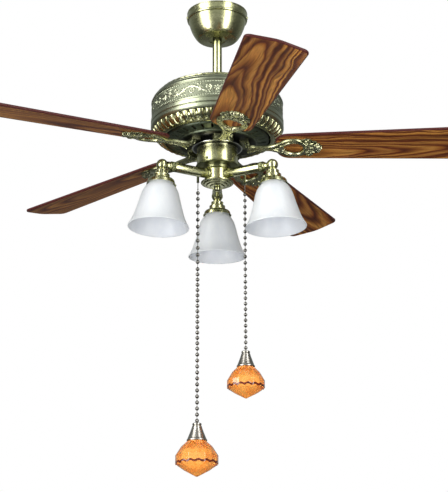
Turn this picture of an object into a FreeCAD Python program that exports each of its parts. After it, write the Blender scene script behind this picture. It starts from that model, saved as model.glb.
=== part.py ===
import FreeCAD, Part
import os
import math

# Ceiling fan with a three-light kit, five wooden blades, a short downrod and two
# bead pull chains with faceted fobs.  Millimetres.  The origin is the centre of the
# ceiling bracket's top face, in the plane of the ceiling, +Z up, so the fan hangs
# below Z = 0.  -Y is the side of the two front lights.

V = FreeCAD.Vector
os.makedirs("parts", exist_ok=True)

# ------------------------------------------------------------------ driving sizes
ZB = -300.0            # height of the blade plane below the ceiling
N_BLADES = 5
BLADE_AZ0 = -79.0      # azimuth of blade 1
PITCH = 11.5           # blade pitch, degrees
DROOP = 1.6            # blade droop, degrees
BLADE_R0 = 119.0       # root of the blade
BLADE_RC = 529.5       # radius of the tip corners
BLADE_RT = 541.0       # radius of the tip's peak
BLADE_T = 5.5          # blade thickness
BLADE_WR = 42.0        # half width at r = 127
BLADE_WT = 57.8        # half width at the tip
PIVOT_R = 127.0        # where pitch and droop start
ROD_R = 9.525          # 3/4 inch downrod
ROD_WALL = 1.6
CAN_R = 61.5           # canopy
CAN_HOLE = 17.0
HOU_R = 134.0          # motor housing
ROT_R = 104.5          # motor shell
SW_R = 40.8            # switch housing
HUB_R = 22.6           # fitter hub
ARM_R = 9.7
ARM_Z = -57.0          # height of the light arms, from the blade plane
BALL_AT = 124.5        # radius of the elbow balls
BALL_R = 11.4
TILT = 3.0             # outward tilt of the shades
ARM_AZ = {"left": -150.0, "right": -30.0, "back": 90.0}
BALL_C = -26.0         # centre of the hanger ball
PULL_TRAVEL = 8.0

CHAINS = {
    # side: x, y, guide start, top of beads, top of cap, cap rims, cap height, crystal
    "left": dict(x=-38.6, y=8.0, gx=-31.5, gy=7.0, top=-85.0, cap=-556.0, r1=8.8,
                 r2=19.6, ch=34.6, rg=41.0, zg1=-618.0, zg2=-634.5, tip=-659.0, bead=7.6),
    "right": dict(x=55.3, y=14.0, gx=31.5, gy=9.0, top=-86.0, cap=-413.5, r1=8.4,
                  r2=17.8, ch=32.2, rg=36.5, zg1=-471.8, zg2=-486.3, tip=-507.5, bead=7.0),
}


# ------------------------------------------------------------------ helpers
def export(shape, name):
    shape = shape.removeSplitter() if shape.ShapeType != "Compound" else shape
    shape.exportStep("parts/%s.step" % name)
    n = len(shape.Solids)
    bb = shape.BoundBox
    print("%-18s solids %2d valid %s vol %10.1f  z %.1f..%.1f" % (
        name, n, shape.isValid(), shape.Volume, bb.ZMin, bb.ZMax))


def profile_face(items):
    """items: points (r, z), or lists of points for a smooth curve through them."""
    edges = []
    last = None
    first = None
    for it in items:
        if isinstance(it, tuple):
            p = V(it[0], 0, it[1])
            if last is not None and (p - last).Length > 1e-7:
                edges.append(Part.LineSegment(last, p).toShape())
            if first is None:
                first = p
            last = p
        else:
            pts = [V(a, 0, b) for a, b in it]
            if last is not None:
                pts = [last] + pts
            c = Part.BSplineCurve()
            c.interpolate(pts)
            edges.append(c.toShape())
            if first is None:
                first = pts[0]
            last = pts[-1]
    if (last - first).Length > 1e-7:
        edges.append(Part.LineSegment(last, first).toShape())
    return Part.Face(Part.Wire(edges))


def rev(items, dz=0.0):
    s = profile_face(items).revolve(V(0, 0, 0), V(0, 0, 1), 360)
    s = s if s.ShapeType == "Solid" else Part.Solid(s.Shells[0])
    s.translate(V(0, 0, dz))
    return s


def cyl(r, p0, p1):
    a, b = V(*p0), V(*p1)
    return Part.makeCylinder(r, (b - a).Length, a, b - a)


def tube(r1, r0, p0, p1):
    return cyl(r1, p0, p1).cut(cyl(r0, p0, p1))


def box(x0, x1, y0, y1, z0, z1):
    return Part.makeBox(x1 - x0, y1 - y0, z1 - z0, V(x0, y0, z0))


def rz(shape, deg):
    s = shape.copy()
    s.rotate(V(0, 0, 0), V(0, 0, 1), deg)
    return s


def up(shape, dz):
    s = shape.copy()
    s.translate(V(0, 0, dz))
    return s


def fuse(items):
    s = items[0]
    for o in items[1:]:
        s = s.fuse(o)
    return s


def arc_path(points, radii):
    """straight runs joined by tangent arcs"""
    P = [V(*p) for p in points]
    edges = []
    cur = P[0]
    for i in range(1, len(P) - 1):
        a = (P[i - 1] - P[i]).normalize()
        b = (P[i + 1] - P[i]).normalize()
        turn = math.pi - a.getAngle(b)
        r = radii[i - 1]
        d = r * math.tan(turn / 2)
        t0 = P[i] + a * d
        t1 = P[i] + b * d
        bis = (a + b).normalize()
        c = P[i] + bis * math.hypot(r, d)
        m = c - bis * r
        edges.append(Part.LineSegment(cur, t0).toShape())
        edges.append(Part.Arc(t0, m, t1).toShape())
        cur = t1
    edges.append(Part.LineSegment(cur, P[-1]).toShape())
    return Part.Wire(edges)


def sweep(wire, r):
    e = wire.Edges[0]
    p = e.valueAt(e.FirstParameter)
    t = e.tangentAt(e.FirstParameter)
    circ = Part.Wire(Part.makeCircle(r, p, t))
    return wire.makePipeShell([circ], True, True)


# ------------------------------------------------------------------ ceiling bracket
plate = box(-57, 57, -29, 29, -2.5, 0).common(cyl(58.0, (0, 0, -3), (0, 0, 1)))
for sx in (-1, 1):
    c = sx * 44.45
    slot = box(c - 7.4, c + 7.4, -2.6, 2.6, -4, 2)
    slot = fuse([slot, cyl(2.6, (c - 7.4, 0, -4), (c - 7.4, 0, 2)), cyl(2.6, (c + 7.4, 0, -4), (c + 7.4, 0, 2))])
    plate = plate.cut(slot)
plate = plate.cut(cyl(13.0, (0, 0, -4), (0, 0, 2)))
legs = [box(-14, 14, sy * 26.5 - 1.5, sy * 26.5 + 1.5, -40.0, -2.4) for sy in (-1, 1)]
base = box(-14, 14, -28, 28, -40, -37)
ring = cyl(24.9, (0, 0, -40), (0, 0, -27.5))
bracket = fuse([plate] + legs + [base, ring])
bracket = bracket.cut(Part.makeSphere(22.15, V(0, 0, BALL_C)))
bracket = bracket.cut(cyl(16.9, (0, 0, -41), (0, 0, -36)))
bracket = bracket.cut(box(0, 40, -10.6, 10.6, -41, -26))
for sx in (-1, 1):
    ear = box(min(sx * 52.5, sx * 55.0), max(sx * 52.5, sx * 55.0), -6, 6, -17.5, -2.4)
    ear = ear.cut(cyl(2.05, (sx * 50, 0, -11), (sx * 58, 0, -11)))
    bracket = bracket.fuse(ear)
export(bracket, "ceiling_bracket")

# ------------------------------------------------------------------ canopy
canopy = rev([(CAN_R, -1.0), (CAN_R, -2.6), (CAN_R + 0.9, -3.6), (CAN_R, -4.6), (CAN_R, -15.4),
              (CAN_R + 0.9, -16.4), (CAN_R, -17.4), (CAN_R, -19.0), (58.6, -20.4),
              [(57.6, -25.0), (55.6, -32.0), (52.7, -40.0), (48.9, -48.0), (44.4, -55.0), (40.0, -60.0)],
              (38.4, -61.2), (CAN_HOLE, -61.2), (CAN_HOLE, -60.0), (38.0, -60.0),
              [(43.0, -54.6), (47.6, -47.5), (51.4, -39.6), (54.4, -31.6), (56.4, -24.8), (57.3, -20.0)],
              (60.2, -18.4), (60.2, -1.0)])
for sx in (-1, 1):
    canopy = canopy.cut(cyl(2.2, (sx * 50, 0, -11), (sx * 66, 0, -11)))
export(canopy, "canopy")
scr = []
for sx in (-1, 1):
    head = Part.makeSphere(3.9, V(sx * (CAN_R - 0.6), 0, -11)).common(
        cyl(3.6, (sx * (CAN_R + 0.02), 0, -11), (sx * (CAN_R + 4), 0, -11)))
    scr.append(cyl(1.95, (sx * 49.5, 0, -11), (sx * (CAN_R + 0.5), 0, -11)).fuse(head))
export(Part.makeCompound(scr), "canopy_screws")

# ------------------------------------------------------------------ hanger ball and its seat
C = V(0, 0, BALL_C)
seat = Part.makeSphere(22.0, C).cut(Part.makeSphere(20.15, C))
seat = seat.common(cyl(30, (0, 0, BALL_C - 12.5), (0, 0, BALL_C - 1.0)))
export(seat, "hanger_seat")
ball = Part.makeSphere(20.0, C).common(cyl(25, (0, 0, BALL_C - 15.0), (0, 0, BALL_C + 13.0)))
ball = ball.cut(cyl(9.6, (0, 0, -60), (0, 0, 10)))
ball = ball.cut(cyl(2.6, (-30, 0, BALL_C), (30, 0, BALL_C)))
export(ball, "hanger_ball")

rod = tube(ROD_R, ROD_R - ROD_WALL, (0, 0, ZB + 115.0), (0, 0, -11.0))
rod = rod.cut(cyl(2.6, (-30, 0, BALL_C), (30, 0, BALL_C)))
rod = rod.cut(cyl(3.1, (-30, 0, ZB + 128.0), (30, 0, ZB + 128.0)))
export(rod, "downrod")
pins = [tube(2.5, 1.2, (-17.5, 0, BALL_C), (17.5, 0, BALL_C)),
        cyl(3.0, (-16.6, 0, ZB + 128.0), (17.2, 0, ZB + 128.0)).fuse(
            cyl(4.6, (15.6, 0, ZB + 128.0), (18.2, 0, ZB + 128.0)))]
# the wires pass each side of the pins
export(Part.makeCompound(pins), "rod_pins")

# ------------------------------------------------------------------ motor yoke and shaft
yoke = fuse([cyl(32.0, (0, 0, 107.3), (0, 0, 111.5)), cyl(15.5, (0, 0, 107.3), (0, 0, 140.0)),
             cyl(8.5, (0, 0, -1.0), (0, 0, 108.0))])
yoke = yoke.cut(cyl(5.6, (0, 0, -5), (0, 0, 150)))
yoke = yoke.cut(cyl(9.6, (0, 0, 115.0), (0, 0, 150)))
yoke = yoke.cut(cyl(3.1, (-30, 0, 128.0), (30, 0, 128.0)))
for k in range(3):
    a = math.radians(30 + 120 * k)
    yoke = yoke.cut(cyl(2.05, (24 * math.cos(a), 24 * math.sin(a), 100), (24 * math.cos(a), 24 * math.sin(a), 120)))
export(up(yoke, ZB), "motor_yoke")

cover = rev([(34.0, 113.0), (34.0, 115.4), (32.2, 116.4),
             [(31.0, 118.6), (27.6, 124.4), (24.0, 132.0), (20.6, 140.0), (17.4, 145.4)],
             (13.0, 147.4), (10.0, 147.4), (10.0, 146.2), (12.6, 146.2), (16.6, 144.2),
             [(19.4, 139.4), (22.8, 131.5), (26.4, 123.8), (29.6, 117.8), (31.4, 115.4)],
             (32.8, 114.4), (32.8, 113.0)])
export(up(cover, ZB), "coupling_cover")

# ------------------------------------------------------------------ motor: stator
core = cyl(90.0, (0, 0, 42), (0, 0, 68)).cut(cyl(8.5, (0, 0, 40), (0, 0, 70)))
for k in range(16):
    s = box(44, 82, -5.2, 5.2, 40, 70).fuse(box(80, 92, -1.6, 1.6, 40, 70))
    core = core.cut(rz(s, 22.5 * k))
export(up(core, ZB), "stator_core")
coil = []
for z0, z1 in ((68.0, 78.0), (32.0, 42.0)):
    zl, zh = min(z0, z1), max(z0, z1)
    c = rev([(42.0, zl), (84.0, zl), (84.0, zh - 3 if z0 > 50 else zh), (80.0, zh), (46.0, zh), (42.0, zh - 3 if z0 > 50 else zh)])
    for k in range(16):
        c = c.cut(rz(box(41, 86, -1.1, 1.1, zl - 1, zh + 1).cut(box(60, 66, -2, 2, zl - 2, zh + 2)), 22.5 * k + 11.25))
    coil.append(c)
export(up(Part.makeCompound(coil), ZB), "stator_windings")

# ------------------------------------------------------------------ motor housing
housing = rev([(16.2, 111.5), (16.2, 113.0), (104.0, 113.0), (112.0, 114.2), (117.5, 113.6),
               [(121.0, 111.6), (125.2, 108.6), (128.4, 105.0)],
               (127.8, 103.8), (129.8, 103.0),
               [(131.6, 100.6), (132.9, 97.6), (133.5, 95.0)],
               (132.7, 94.0), (132.7, 60.5), (133.5, 59.6), (133.1, 58.2), (HOU_R, 57.2), (HOU_R, 50.6),
               (133.1, 49.6), (133.1, 47.8), (HOU_R, 46.8), (HOU_R, 40.6), (132.6, 38.4), (130.6, 36.4),
               (128.6, 36.4), (128.6, 38.6), (131.0, 42.0), (131.0, 94.6), [(129.8, 98.6), (127.0, 103.0), (122.0, 107.6), (116.5, 111.5)]])
vent = fuse([box(62, 92, -3.2, 3.2, 100, 120), cyl(3.2, (62, 0, 100), (62, 0, 120)), cyl(3.2, (92, 0, 100), (92, 0, 120))])
for k in range(20):
    housing = housing.cut(rz(vent, 18.0 * k))
for k in range(3):
    a = math.radians(30 + 120 * k)
    housing = housing.cut(cyl(2.2, (24 * math.cos(a), 24 * math.sin(a), 100), (24 * math.cos(a), 24 * math.sin(a), 120)))
export(up(housing, ZB), "motor_housing")

gad = rev([(130.2, 36.2), [(129.6, 33.0), (127.4, 28.8), (123.6, 24.4), (118.6, 20.6), (114.0, 18.6)],
           (111.6, 17.4), (108.2, 17.4), (108.2, 19.0), (113.0, 20.4),
           [(117.4, 22.6), (122.0, 26.0), (125.6, 30.2), (127.6, 36.2)]])
export(up(gad, ZB), "gadroon_ring")

# ------------------------------------------------------------------ rotor
upper = rev([(24.0, 84.0), (24.0, 95.5), (96.0, 95.5), (102.0, 88.0), (102.0, 25.0), (ROT_R, 25.0), (ROT_R, 89.0),
             (97.5, 98.0), (20.0, 98.0), (20.0, 84.0)])
upper = upper.fuse(rev([(91.0, 44.0), (102.2, 44.0), (102.2, 66.0), (91.0, 66.0)]))
export(up(upper, ZB), "rotor_upper")
lower = rev([(ROT_R, 24.9), (ROT_R, 18.4), (102.2, 15.0), (82.6, 12.4), (79.6, 12.0), (78.2, 8.0), (20.0, 8.0),
             (20.0, 22.0), (24.0, 22.0), (24.0, 10.6), (76.0, 10.6), (77.6, 14.6), (81.0, 15.0),
             (100.6, 17.8), (102.0, 20.0), (102.0, 24.9)])
slot = fuse([box(84.5, 97.0, -2.4, 2.4, 5, 30), cyl(2.4, (84.5, 0, 5), (84.5, 0, 30)), cyl(2.4, (97.0, 0, 5), (97.0, 0, 30))])
for k in range(30):
    lower = lower.cut(rz(slot, 12.0 * k))
for b in range(N_BLADES):
    for t in (-13.0, 13.0):
        h = cyl(2.1, (58, t, 0), (58, t, 12))
        lower = lower.cut(rz(h, BLADE_AZ0 + 72 * b))
export(up(lower, ZB), "rotor_lower")
bear = [tube(19.98, 8.55, (0, 0, 85.5), (0, 0, 97.0)), tube(19.98, 8.55, (0, 0, 9.5), (0, 0, 21.0))]
export(up(Part.makeCompound(bear), ZB), "bearings")


# ------------------------------------------------------------------ blades and irons
def place_blade(s, k):
    """s is drawn flat at azimuth 0, its mid plane at z = 0"""
    s = s.copy()
    s.rotate(V(0, 0, 0), V(1, 0, 0), -PITCH)
    s.rotate(V(PIVOT_R, 0, 0), V(0, 1, 0), DROOP)
    s.rotate(V(0, 0, 0), V(0, 0, 1), BLADE_AZ0 + 72.0 * k)
    s.translate(V(0, 0, ZB))
    return s


def half_w(r):
    return BLADE_WT - (BLADE_WT - BLADE_WR) * (BLADE_RC - r) / (BLADE_RC - PIVOT_R)


def rounded(points, radii, z0, h):
    w = arc_loop(points, radii)
    f = Part.Face(w)
    f.translate(V(0, 0, z0))
    return f.extrude(V(0, 0, h))


def arc_loop(points, radii):
    P = [V(p[0], p[1], 0) for p in points]
    n = len(P)
    cuts = []
    for i in range(n):
        a = (P[i - 1] - P[i]).normalize()
        b = (P[(i + 1) % n] - P[i]).normalize()
        turn = math.pi - a.getAngle(b)
        r = radii[i]
        d = r * math.tan(turn / 2)
        bis = (a + b).normalize()
        c = P[i] + bis * math.hypot(r, d)
        cuts.append((P[i] + a * d, c - bis * r, P[i] + b * d, r))
    edges = []
    for i in range(n):
        t0, m, t1, r = cuts[i]
        if r > 0:
            edges.append(Part.Arc(t0, m, t1).toShape())
        nxt = cuts[(i + 1) % n][0]
        edges.append(Part.LineSegment(t1, nxt).toShape())
    return Part.Wire(edges)


# plan of a blade: bowed root with large corners, straight sides that widen outwards,
# a tip with a shallow central peak and rounded corners
root_w = half_w(BLADE_R0)
plan = [(BLADE_R0, -root_w), (BLADE_RC, -BLADE_WT), (BLADE_RT, 0.0), (BLADE_RC, BLADE_WT), (BLADE_R0, root_w)]
blade = rounded(plan, [26.0, 13.0, 0.0, 13.0, 26.0], -BLADE_T / 2, BLADE_T)
SCREWS_AT = [(151.0, -25.6), (151.0, 25.6), (191.0, 0.0)]
for r, t in SCREWS_AT:
    blade = blade.cut(cyl(2.3, (r, t, -10), (r, t, 10)))
for k in range(N_BLADES):
    export(place_blade(blade, k), "blade_%d" % (k + 1))

half = [(112.0, 11.5), (122.0, 13.5), (130.0, 19.5), (139.0, 26.5), (150.0, 31.0), (161.0, 31.0), (170.0, 27.6),
        (178.0, 30.4), (187.0, 29.4), (193.0, 23.4), (199.0, 21.4), (203.5, 15.0), (208.0, 10.6), (210.5, 5.2), (211.0, 0.0)]
pts = [V(a, b, 0) for a, b in half] + [V(a, -b, 0) for a, b in reversed(half[:-1])]
c1 = Part.BSplineCurve()
c1.interpolate(pts)
outline = Part.Wire([c1.toShape(), Part.LineSegment(pts[-1], pts[0]).toShape()])
eye_half = [V(131.0, 0, 0), V(138.0, 9.4, 0), V(148.0, 16.8, 0), (V(158.0, 18.6, 0)), V(167.0, 14.8, 0), V(171.0, 7.0, 0), V(172.0, 0, 0)]
c2 = Part.BSplineCurve()
c2.interpolate(eye_half)
c3 = Part.BSplineCurve()
c3.interpolate([V(p.x, -p.y, 0) for p in eye_half])
eye = Part.Wire([c2.toShape(), c3.toShape()])
IRON_T = 3.6
zi = -BLADE_T / 2 - 0.05
head_f = Part.Face(outline)
head = head_f.extrude(V(0, 0, -IRON_T))
head.translate(V(0, 0, zi))
eye_s = Part.Face(eye).extrude(V(0, 0, -20))
eye_s.translate(V(0, 0, 5))
head = head.cut(eye_s)
for r, t in SCREWS_AT:
    head = head.cut(cyl(2.1, (r, t, -20), (r, t, 5)))
irons = []
rscrews = []
for k in range(N_BLADES):
    h = place_blade(head, k)
    neck = box(60, 117.5, -10.0, 10.0, -6.0, -1.6)
    neck = neck.fuse(rounded([(59.0, -21.0), (73.0, -15.0), (73.0, 15.0), (59.0, 21.0)], [2, 3, 3, 2], -6.0, 4.4))
    pad = rounded([(45.0, -20.0), (66.0, -20.0), (66.0, 20.0), (45.0, 20.0)], [4, 2, 2, 4], 4.0, 3.9)
    riser = box(62.6, 66.0, -18.0, 18.0, -6.0, 6.0)
    low = fuse([neck, pad, riser])
    for t in (-13.0, 13.0):
        low = low.cut(cyl(2.1, (58, t, -10), (58, t, 12)))
    # room for the screw heads under the pad
    for t in (-13.0, 13.0):
        low = low.cut(cyl(4.4, (58, t, -10), (58, t, 4.0)))
    low = up(rz(low, BLADE_AZ0 + 72.0 * k), ZB)
    irons.append(low.fuse(h))
    for r, t in SCREWS_AT:
        s = cyl(2.0, (r, t, zi - IRON_T + 0.2), (r, t, BLADE_T / 2 + 0.6)).fuse(
            cyl(4.4, (r, t, BLADE_T / 2 + 0.05), (r, t, BLADE_T / 2 + 2.2)))
        rscrews.append(place_blade(s, k))
    for t in (-13.0, 13.0):
        s = cyl(2.0, (58, t, 3.0), (58, t, 10.4)).fuse(cyl(4.0, (58, t, 1.4), (58, t, 3.95)))
        rscrews.append(up(rz(s, BLADE_AZ0 + 72.0 * k), ZB))
export(Part.makeCompound(irons), "blade_irons")
export(Part.makeCompound(rscrews), "blade_screws")

# ------------------------------------------------------------------ switch housing
splate = rev([(8.6, 1.6), (8.6, -1.0), (49.6, -1.0), (50.8, 0.0), (50.8, 0.6), (49.8, 1.2), (44.0, 1.2), (43.4, 1.6)])
export(up(splate, ZB), "switch_plate")
cup = rev([(SW_R, -1.05), (SW_R, -36.9), (SW_R - 1.2, -36.9), (SW_R - 1.2, -2.6), (30.0, -2.6), (30.0, -1.05)])
cup = cup.cut(box(-2.2, 2.2, 30, 50, -22.4, -9.6))
for k in range(3):
    a = -120.0 + 120.0 * k
    cup = cup.cut(rz(cyl(1.7, (30, 0, -31.5), (50, 0, -31.5)), a))
export(up(cup, ZB), "switch_housing")
lplate = rev([(10.0, -40.0), (43.0, -40.0), (43.0, -38.2), (42.2, -37.0), (39.5, -37.0), (39.5, -27.0), (38.3, -27.0), (38.3, -38.2), (10.0, -38.2)])
for k in range(3):
    a = -120.0 + 120.0 * k
    lplate = lplate.cut(rz(cyl(1.4, (30, 0, -31.5), (50, 0, -31.5)), a))
for c in CHAINS.values():
    lplate = lplate.cut(cyl(2.55, (c["gx"], c["gy"], -50), (c["gx"], c["gy"], -30)))
export(up(lplate, ZB), "light_kit_plate")
hs = []
for k in range(3):
    a = math.radians(30 + 120 * k)
    x, y = 24 * math.cos(a), 24 * math.sin(a)
    hs.append(up(cyl(2.0, (x, y, 105.0), (x, y, 113.4)).fuse(cyl(4.0, (x, y, 113.05), (x, y, 115.2))), ZB))
    s = cyl(1.35, (37.0, 0, -31.5), (SW_R + 0.4, 0, -31.5)).fuse(
        Part.makeSphere(3.2, V(SW_R - 0.9, 0, -31.5)).common(cyl(2.9, (SW_R + 0.05, 0, -31.5), (SW_R + 4, 0, -31.5))))
    hs.append(up(rz(s, -120.0 + 120.0 * k), ZB))
export(Part.makeCompound(hs), "housing_screws")

cap_box = box(-19, 19, -35, -19, -28, -6)
cap_box = cap_box.common(cyl(38.0, (0, 0, -40), (0, 0, 10)))
export(up(cap_box, ZB), "capacitor")
sws = []
for sx in (-1, 1):
    b = cyl(10.5, (sx * 23.0, 6.0, -27.0), (sx * 23.0, 6.0, -13.0)).fuse(cyl(4.0, (sx * 23.0, 6.0, -13.2), (sx * 23.0, 6.0, -8.0)))
    b = b.fuse(box(min(sx * 24, sx * 36.5), max(sx * 24, sx * 36.5), 3.0, 9.0, -26.0, -20.0))
    sws.append(up(b, ZB))
export(Part.makeCompound(sws), "pull_switches")
rsw = box(-9, 9, 24.0, 35.0, -24.0, -8.0)
rsw = rsw.cut(box(-1.8, 1.8, 32.0, 36.0, -22.0, -10.0))
export(up(rsw, ZB), "reverse_switch")
rsl = box(-1.5, 1.5, 32.4, 42.4, -21.4, -16.2).fuse(box(-2.0, 2.0, 41.0, 43.6, -21.4, -16.2))
export(up(rsl, ZB), "reverse_slider")
leads = []
for x, y in ((1.6, 4.0), (-1.6, 4.0), (1.6, -4.0), (-1.6, -4.0)):
    leads.append(cyl(0.8, (x * 1.0, y * 1.0, ZB - 30.0), (x, y, -14.0)))
export(Part.makeCompound(leads), "lead_wires")

# ------------------------------------------------------------------ light kit
hub = rev([(27.0, -40.05), (27.0, -45.6), (26.2, -46.5), (HUB_R, -46.5), (HUB_R, -70.9), (HUB_R - 2.0, -70.9),
           (HUB_R - 2.0, -44.0), (14.0, -44.0), (14.0, -40.05)])
for az in ARM_AZ.values():
    hub = hub.cut(rz(cyl(ARM_R + 0.05, (12, 0, ARM_Z), (HUB_R + 0.6, 0, ARM_Z)), az))
export(up(hub, ZB), "fitter_hub")
bcap = rev([(32.7, -71.0), (32.7, -73.2), (31.2, -74.6), (28.6, -74.6), (27.6, -76.6), (22.6, -76.9), (21.6, -78.7),
            (15.0, -79.0), (14.0, -80.6), (7.0, -81.2), (5.6, -82.4), [(6.4, -85.0), (5.6, -88.0), (3.2, -90.2), (0.0, -91.0)],
            (0.0, -78.0), (13.0, -77.4), (20.6, -75.4), (26.6, -75.2), (27.6, -73.4), (31.2, -73.2), (31.2, -72.4), (19.6, -72.4), (19.6, -71.0)])
export(up(bcap, ZB), "bottom_cap")

arms = []
collars = []
for side, az in ARM_AZ.items():
    a = cyl(ARM_R, (18.0, 0, ARM_Z), (98.0, 0, ARM_Z)).cut(cyl(ARM_R - 1.5, (10.0, 0, ARM_Z), (100.0, 0, ARM_Z)))
    arms.append(up(rz(a, az), ZB))
    c = cyl(10.2, (98.05, 0, ARM_Z), (105.5, 0, ARM_Z)).fuse(cyl(ARM_R - 1.55, (91.0, 0, ARM_Z), (99.0, 0, ARM_Z)))
    for g in range(20):
        t = math.radians(18 * g)
        c = c.cut(cyl(0.55, (97.0, 10.5 * math.cos(t), ARM_Z + 10.5 * math.sin(t)), (107.0, 10.5 * math.cos(t), ARM_Z + 10.5 * math.sin(t))))
    c = c.cut(cyl(6.1, (90.0, 0, ARM_Z), (107.0, 0, ARM_Z)))
    collars.append(up(rz(c, az), ZB))
export(Part.makeCompound(arms), "light_arms")
export(Part.makeCompound(collars), "arm_collars")


def place_light(s, side):
    """s is drawn about the vertical through the elbow ball, whose centre is the origin"""
    s = s.copy()
    s.rotate(V(0, 0, 0), V(0, 1, 0), -TILT)
    s.translate(V(BALL_AT, 0, ZB + ARM_Z))
    s.rotate(V(0, 0, 0), V(0, 0, 1), ARM_AZ[side])
    return s


holder = rev([(5.2, -12.6), (11.6, -12.6), (12.5, -13.6), (12.5, -20.4), (15.4, -20.8), (16.3, -21.8), (16.3, -28.6),
              [(19.0, -29.6), (23.4, -31.3), (26.0, -33.8), (27.2, -37.4), (28.3, -41.2)], (27.2, -41.2),
              [(26.0, -37.6), (24.9, -34.5), (22.6, -32.5), (18.6, -30.8), (15.1, -29.6)], (15.1, -22.0), (11.3, -21.6), (11.3, -13.8), (5.2, -13.8)])
for g in range(10):
    s = box(10.6, 14.0, -0.9, 0.9, -19.6, -14.6)
    holder = holder.cut(rz(s, 36 * g))
lamp = rev([(3.2, -22.2), (14.4, -22.2), (14.4, -33.0), (13.9, -34.0), (13.9, -51.0), (12.95, -51.0), (12.95, -26.5), (3.2, -26.5)])
bulb = rev([(0, -26.8), (5.0, -26.8), (5.6, -28.8), (12.5, -30.6), (12.5, -50.0),
            [(14.0, -54.0), (18.2, -62.0), (21.6, -71.0), (22.6, -80.0), (21.4, -89.0), (17.0, -98.0), (9.6, -104.0), (0.0, -106.0)]])
shade = rev([(20.6, -34.4), (24.2, -34.4), (24.2, -39.6),
             [(25.4, -42.6), (28.6, -46.6), (32.4, -52.0), (35.6, -59.0), (38.6, -69.0), (41.4, -80.0), (44.4, -91.0),
              (47.6, -102.0), (51.0, -112.0), (55.0, -121.0), (59.6, -129.2)],
             (58.6, -130.4), (57.0, -129.9),
             [(52.2, -121.4), (48.3, -112.6), (44.9, -102.8), (41.7, -91.8), (38.7, -80.6), (35.9, -69.8), (33.0, -60.4),
              (29.8, -53.8), (26.2, -48.4), (22.6, -44.4), (20.6, -40.4)]])
for side, az in ARM_AZ.items():
    e = Part.makeSphere(BALL_R, V(0, 0, 0)).fuse(cyl(8.2, (0, 0, -12.5), (0, 0, -7.0)))
    e = e.fuse(cyl(5.1, (0, 0, -19.0), (0, 0, -10.0)))
    e = e.cut(cyl(3.0, (0, 0, -25.0), (0, 0, 3.0)))
    e = place_light(e, side)
    n = cyl(6.0, (93.0, 0, ARM_Z), (118.0, 0, ARM_Z)).fuse(cyl(8.4, (106.0, 0, ARM_Z), (109.0, 0, ARM_Z)))
    n = up(rz(n, az), ZB)
    bore = up(rz(cyl(3.0, (90.0, 0, ARM_Z), (BALL_AT + 1.0, 0, ARM_Z)), az), ZB)
    export(e.fuse(n).cut(bore), "elbow_%s" % side)
    parts_ = [place_light(holder, side)]
    for g in range(3):
        th = rz(cyl(1.5, (24.3, 0, -37.0), (31.0, 0, -37.0)).fuse(cyl(2.9, (29.6, 0, -37.0), (32.6, 0, -37.0))), 60 + 120 * g)
        hole = rz(cyl(1.6, (20.0, 0, -37.0), (31.0, 0, -37.0)), 60 + 120 * g)
        parts_[0] = parts_[0].cut(place_light(hole, side))
        parts_.append(place_light(th, side))
    export(Part.makeCompound(parts_), "shade_holder_%s" % side)
    export(place_light(lamp, side), "lampholder_%s" % side)
    export(place_light(bulb, side), "bulb_%s" % side)
    export(place_light(shade, side), "glass_shade_%s" % side)

# ------------------------------------------------------------------ pull chains
guides = []
for side, c in CHAINS.items():
    knee = -50.0
    pts = [(c["gx"], c["gy"], -34.0), (c["gx"], c["gy"], -43.5), (c["x"], c["y"], knee), (c["x"], c["y"], -69.0)]
    w = arc_path(pts, [5.0, 5.0] if side == "left" else [4.0, 4.0])
    g = sweep(w, 2.5).cut(sweep(w, 1.5))
    nut = tube(4.2, 2.45, (c["gx"], c["gy"], -42.0), (c["gx"], c["gy"], -40.05))
    guides.append(up(g.fuse(nut), ZB))
    leader = cyl(0.8, (c["x"], c["y"], ZB - 56.0), (c["x"], c["y"], ZB + c["top"] + 0.6))
    leader = leader.fuse(Part.makeSphere(1.25, V(c["x"], c["y"], ZB - 57.0)))
    leader = leader.fuse(Part.makeSphere(1.5, V(c["x"], c["y"], ZB + c["top"] + 1.6)))
    export(leader, "%s_chain_leader" % side)
    chain = cyl(c["bead"] / 2, (c["x"], c["y"], ZB + c["cap"] + 0.02), (c["x"], c["y"], ZB + c["top"]))
    export(chain, "%s_bead_chain" % side)
    cap = rev([(0, c["cap"]), (c["r1"] - 1.0, c["cap"]), (c["r1"], c["cap"] - 1.2), (c["r2"] - 0.6, c["cap"] - c["ch"] + 1.4),
               (c["r2"], c["cap"] - c["ch"]), (0, c["cap"] - c["ch"])])
    cap.translate(V(c["x"], c["y"], ZB))
    export(cap, "%s_fob_cap" % side)
    n = 16
    z0 = c["cap"] - c["ch"] - 0.02
    rings = [(c["r2"] * 0.94, z0), (c["rg"], c["zg1"]), (c["rg"], c["zg2"])]
    def ngon(r, z):
        pts = [V(c["x"] + r * math.cos(2 * math.pi * i / n), c["y"] + r * math.sin(2 * math.pi * i / n), ZB + z) for i in range(n)]
        return Part.makePolygon(pts + [pts[0]])
    tip = V(c["x"], c["y"], ZB + c["tip"])
    body = Part.makeLoft([ngon(*rings[0]), ngon(*rings[1])], True, True)
    band = Part.makeLoft([ngon(*rings[1]), ngon(*rings[2])], True, True)
    faces = []
    pts = [V(c["x"] + c["rg"] * math.cos(2 * math.pi * i / n), c["y"] + c["rg"] * math.sin(2 * math.pi * i / n), ZB + c["zg2"]) for i in range(n)]
    for i in range(n):
        faces.append(Part.Face(Part.makePolygon([pts[i], pts[(i + 1) % n], tip, pts[i]])))
    faces.append(Part.Face(Part.makePolygon(pts + [pts[0]])))
    cone = Part.Solid(Part.Shell(faces))
    if cone.Volume < 0:
        cone.reverse()
    export(body.fuse(band).fuse(cone), "%s_crystal" % side)
    print(side, "chain length", c["top"] - c["cap"])
export(Part.makeCompound(guides), "chain_guides")
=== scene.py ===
import math

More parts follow.
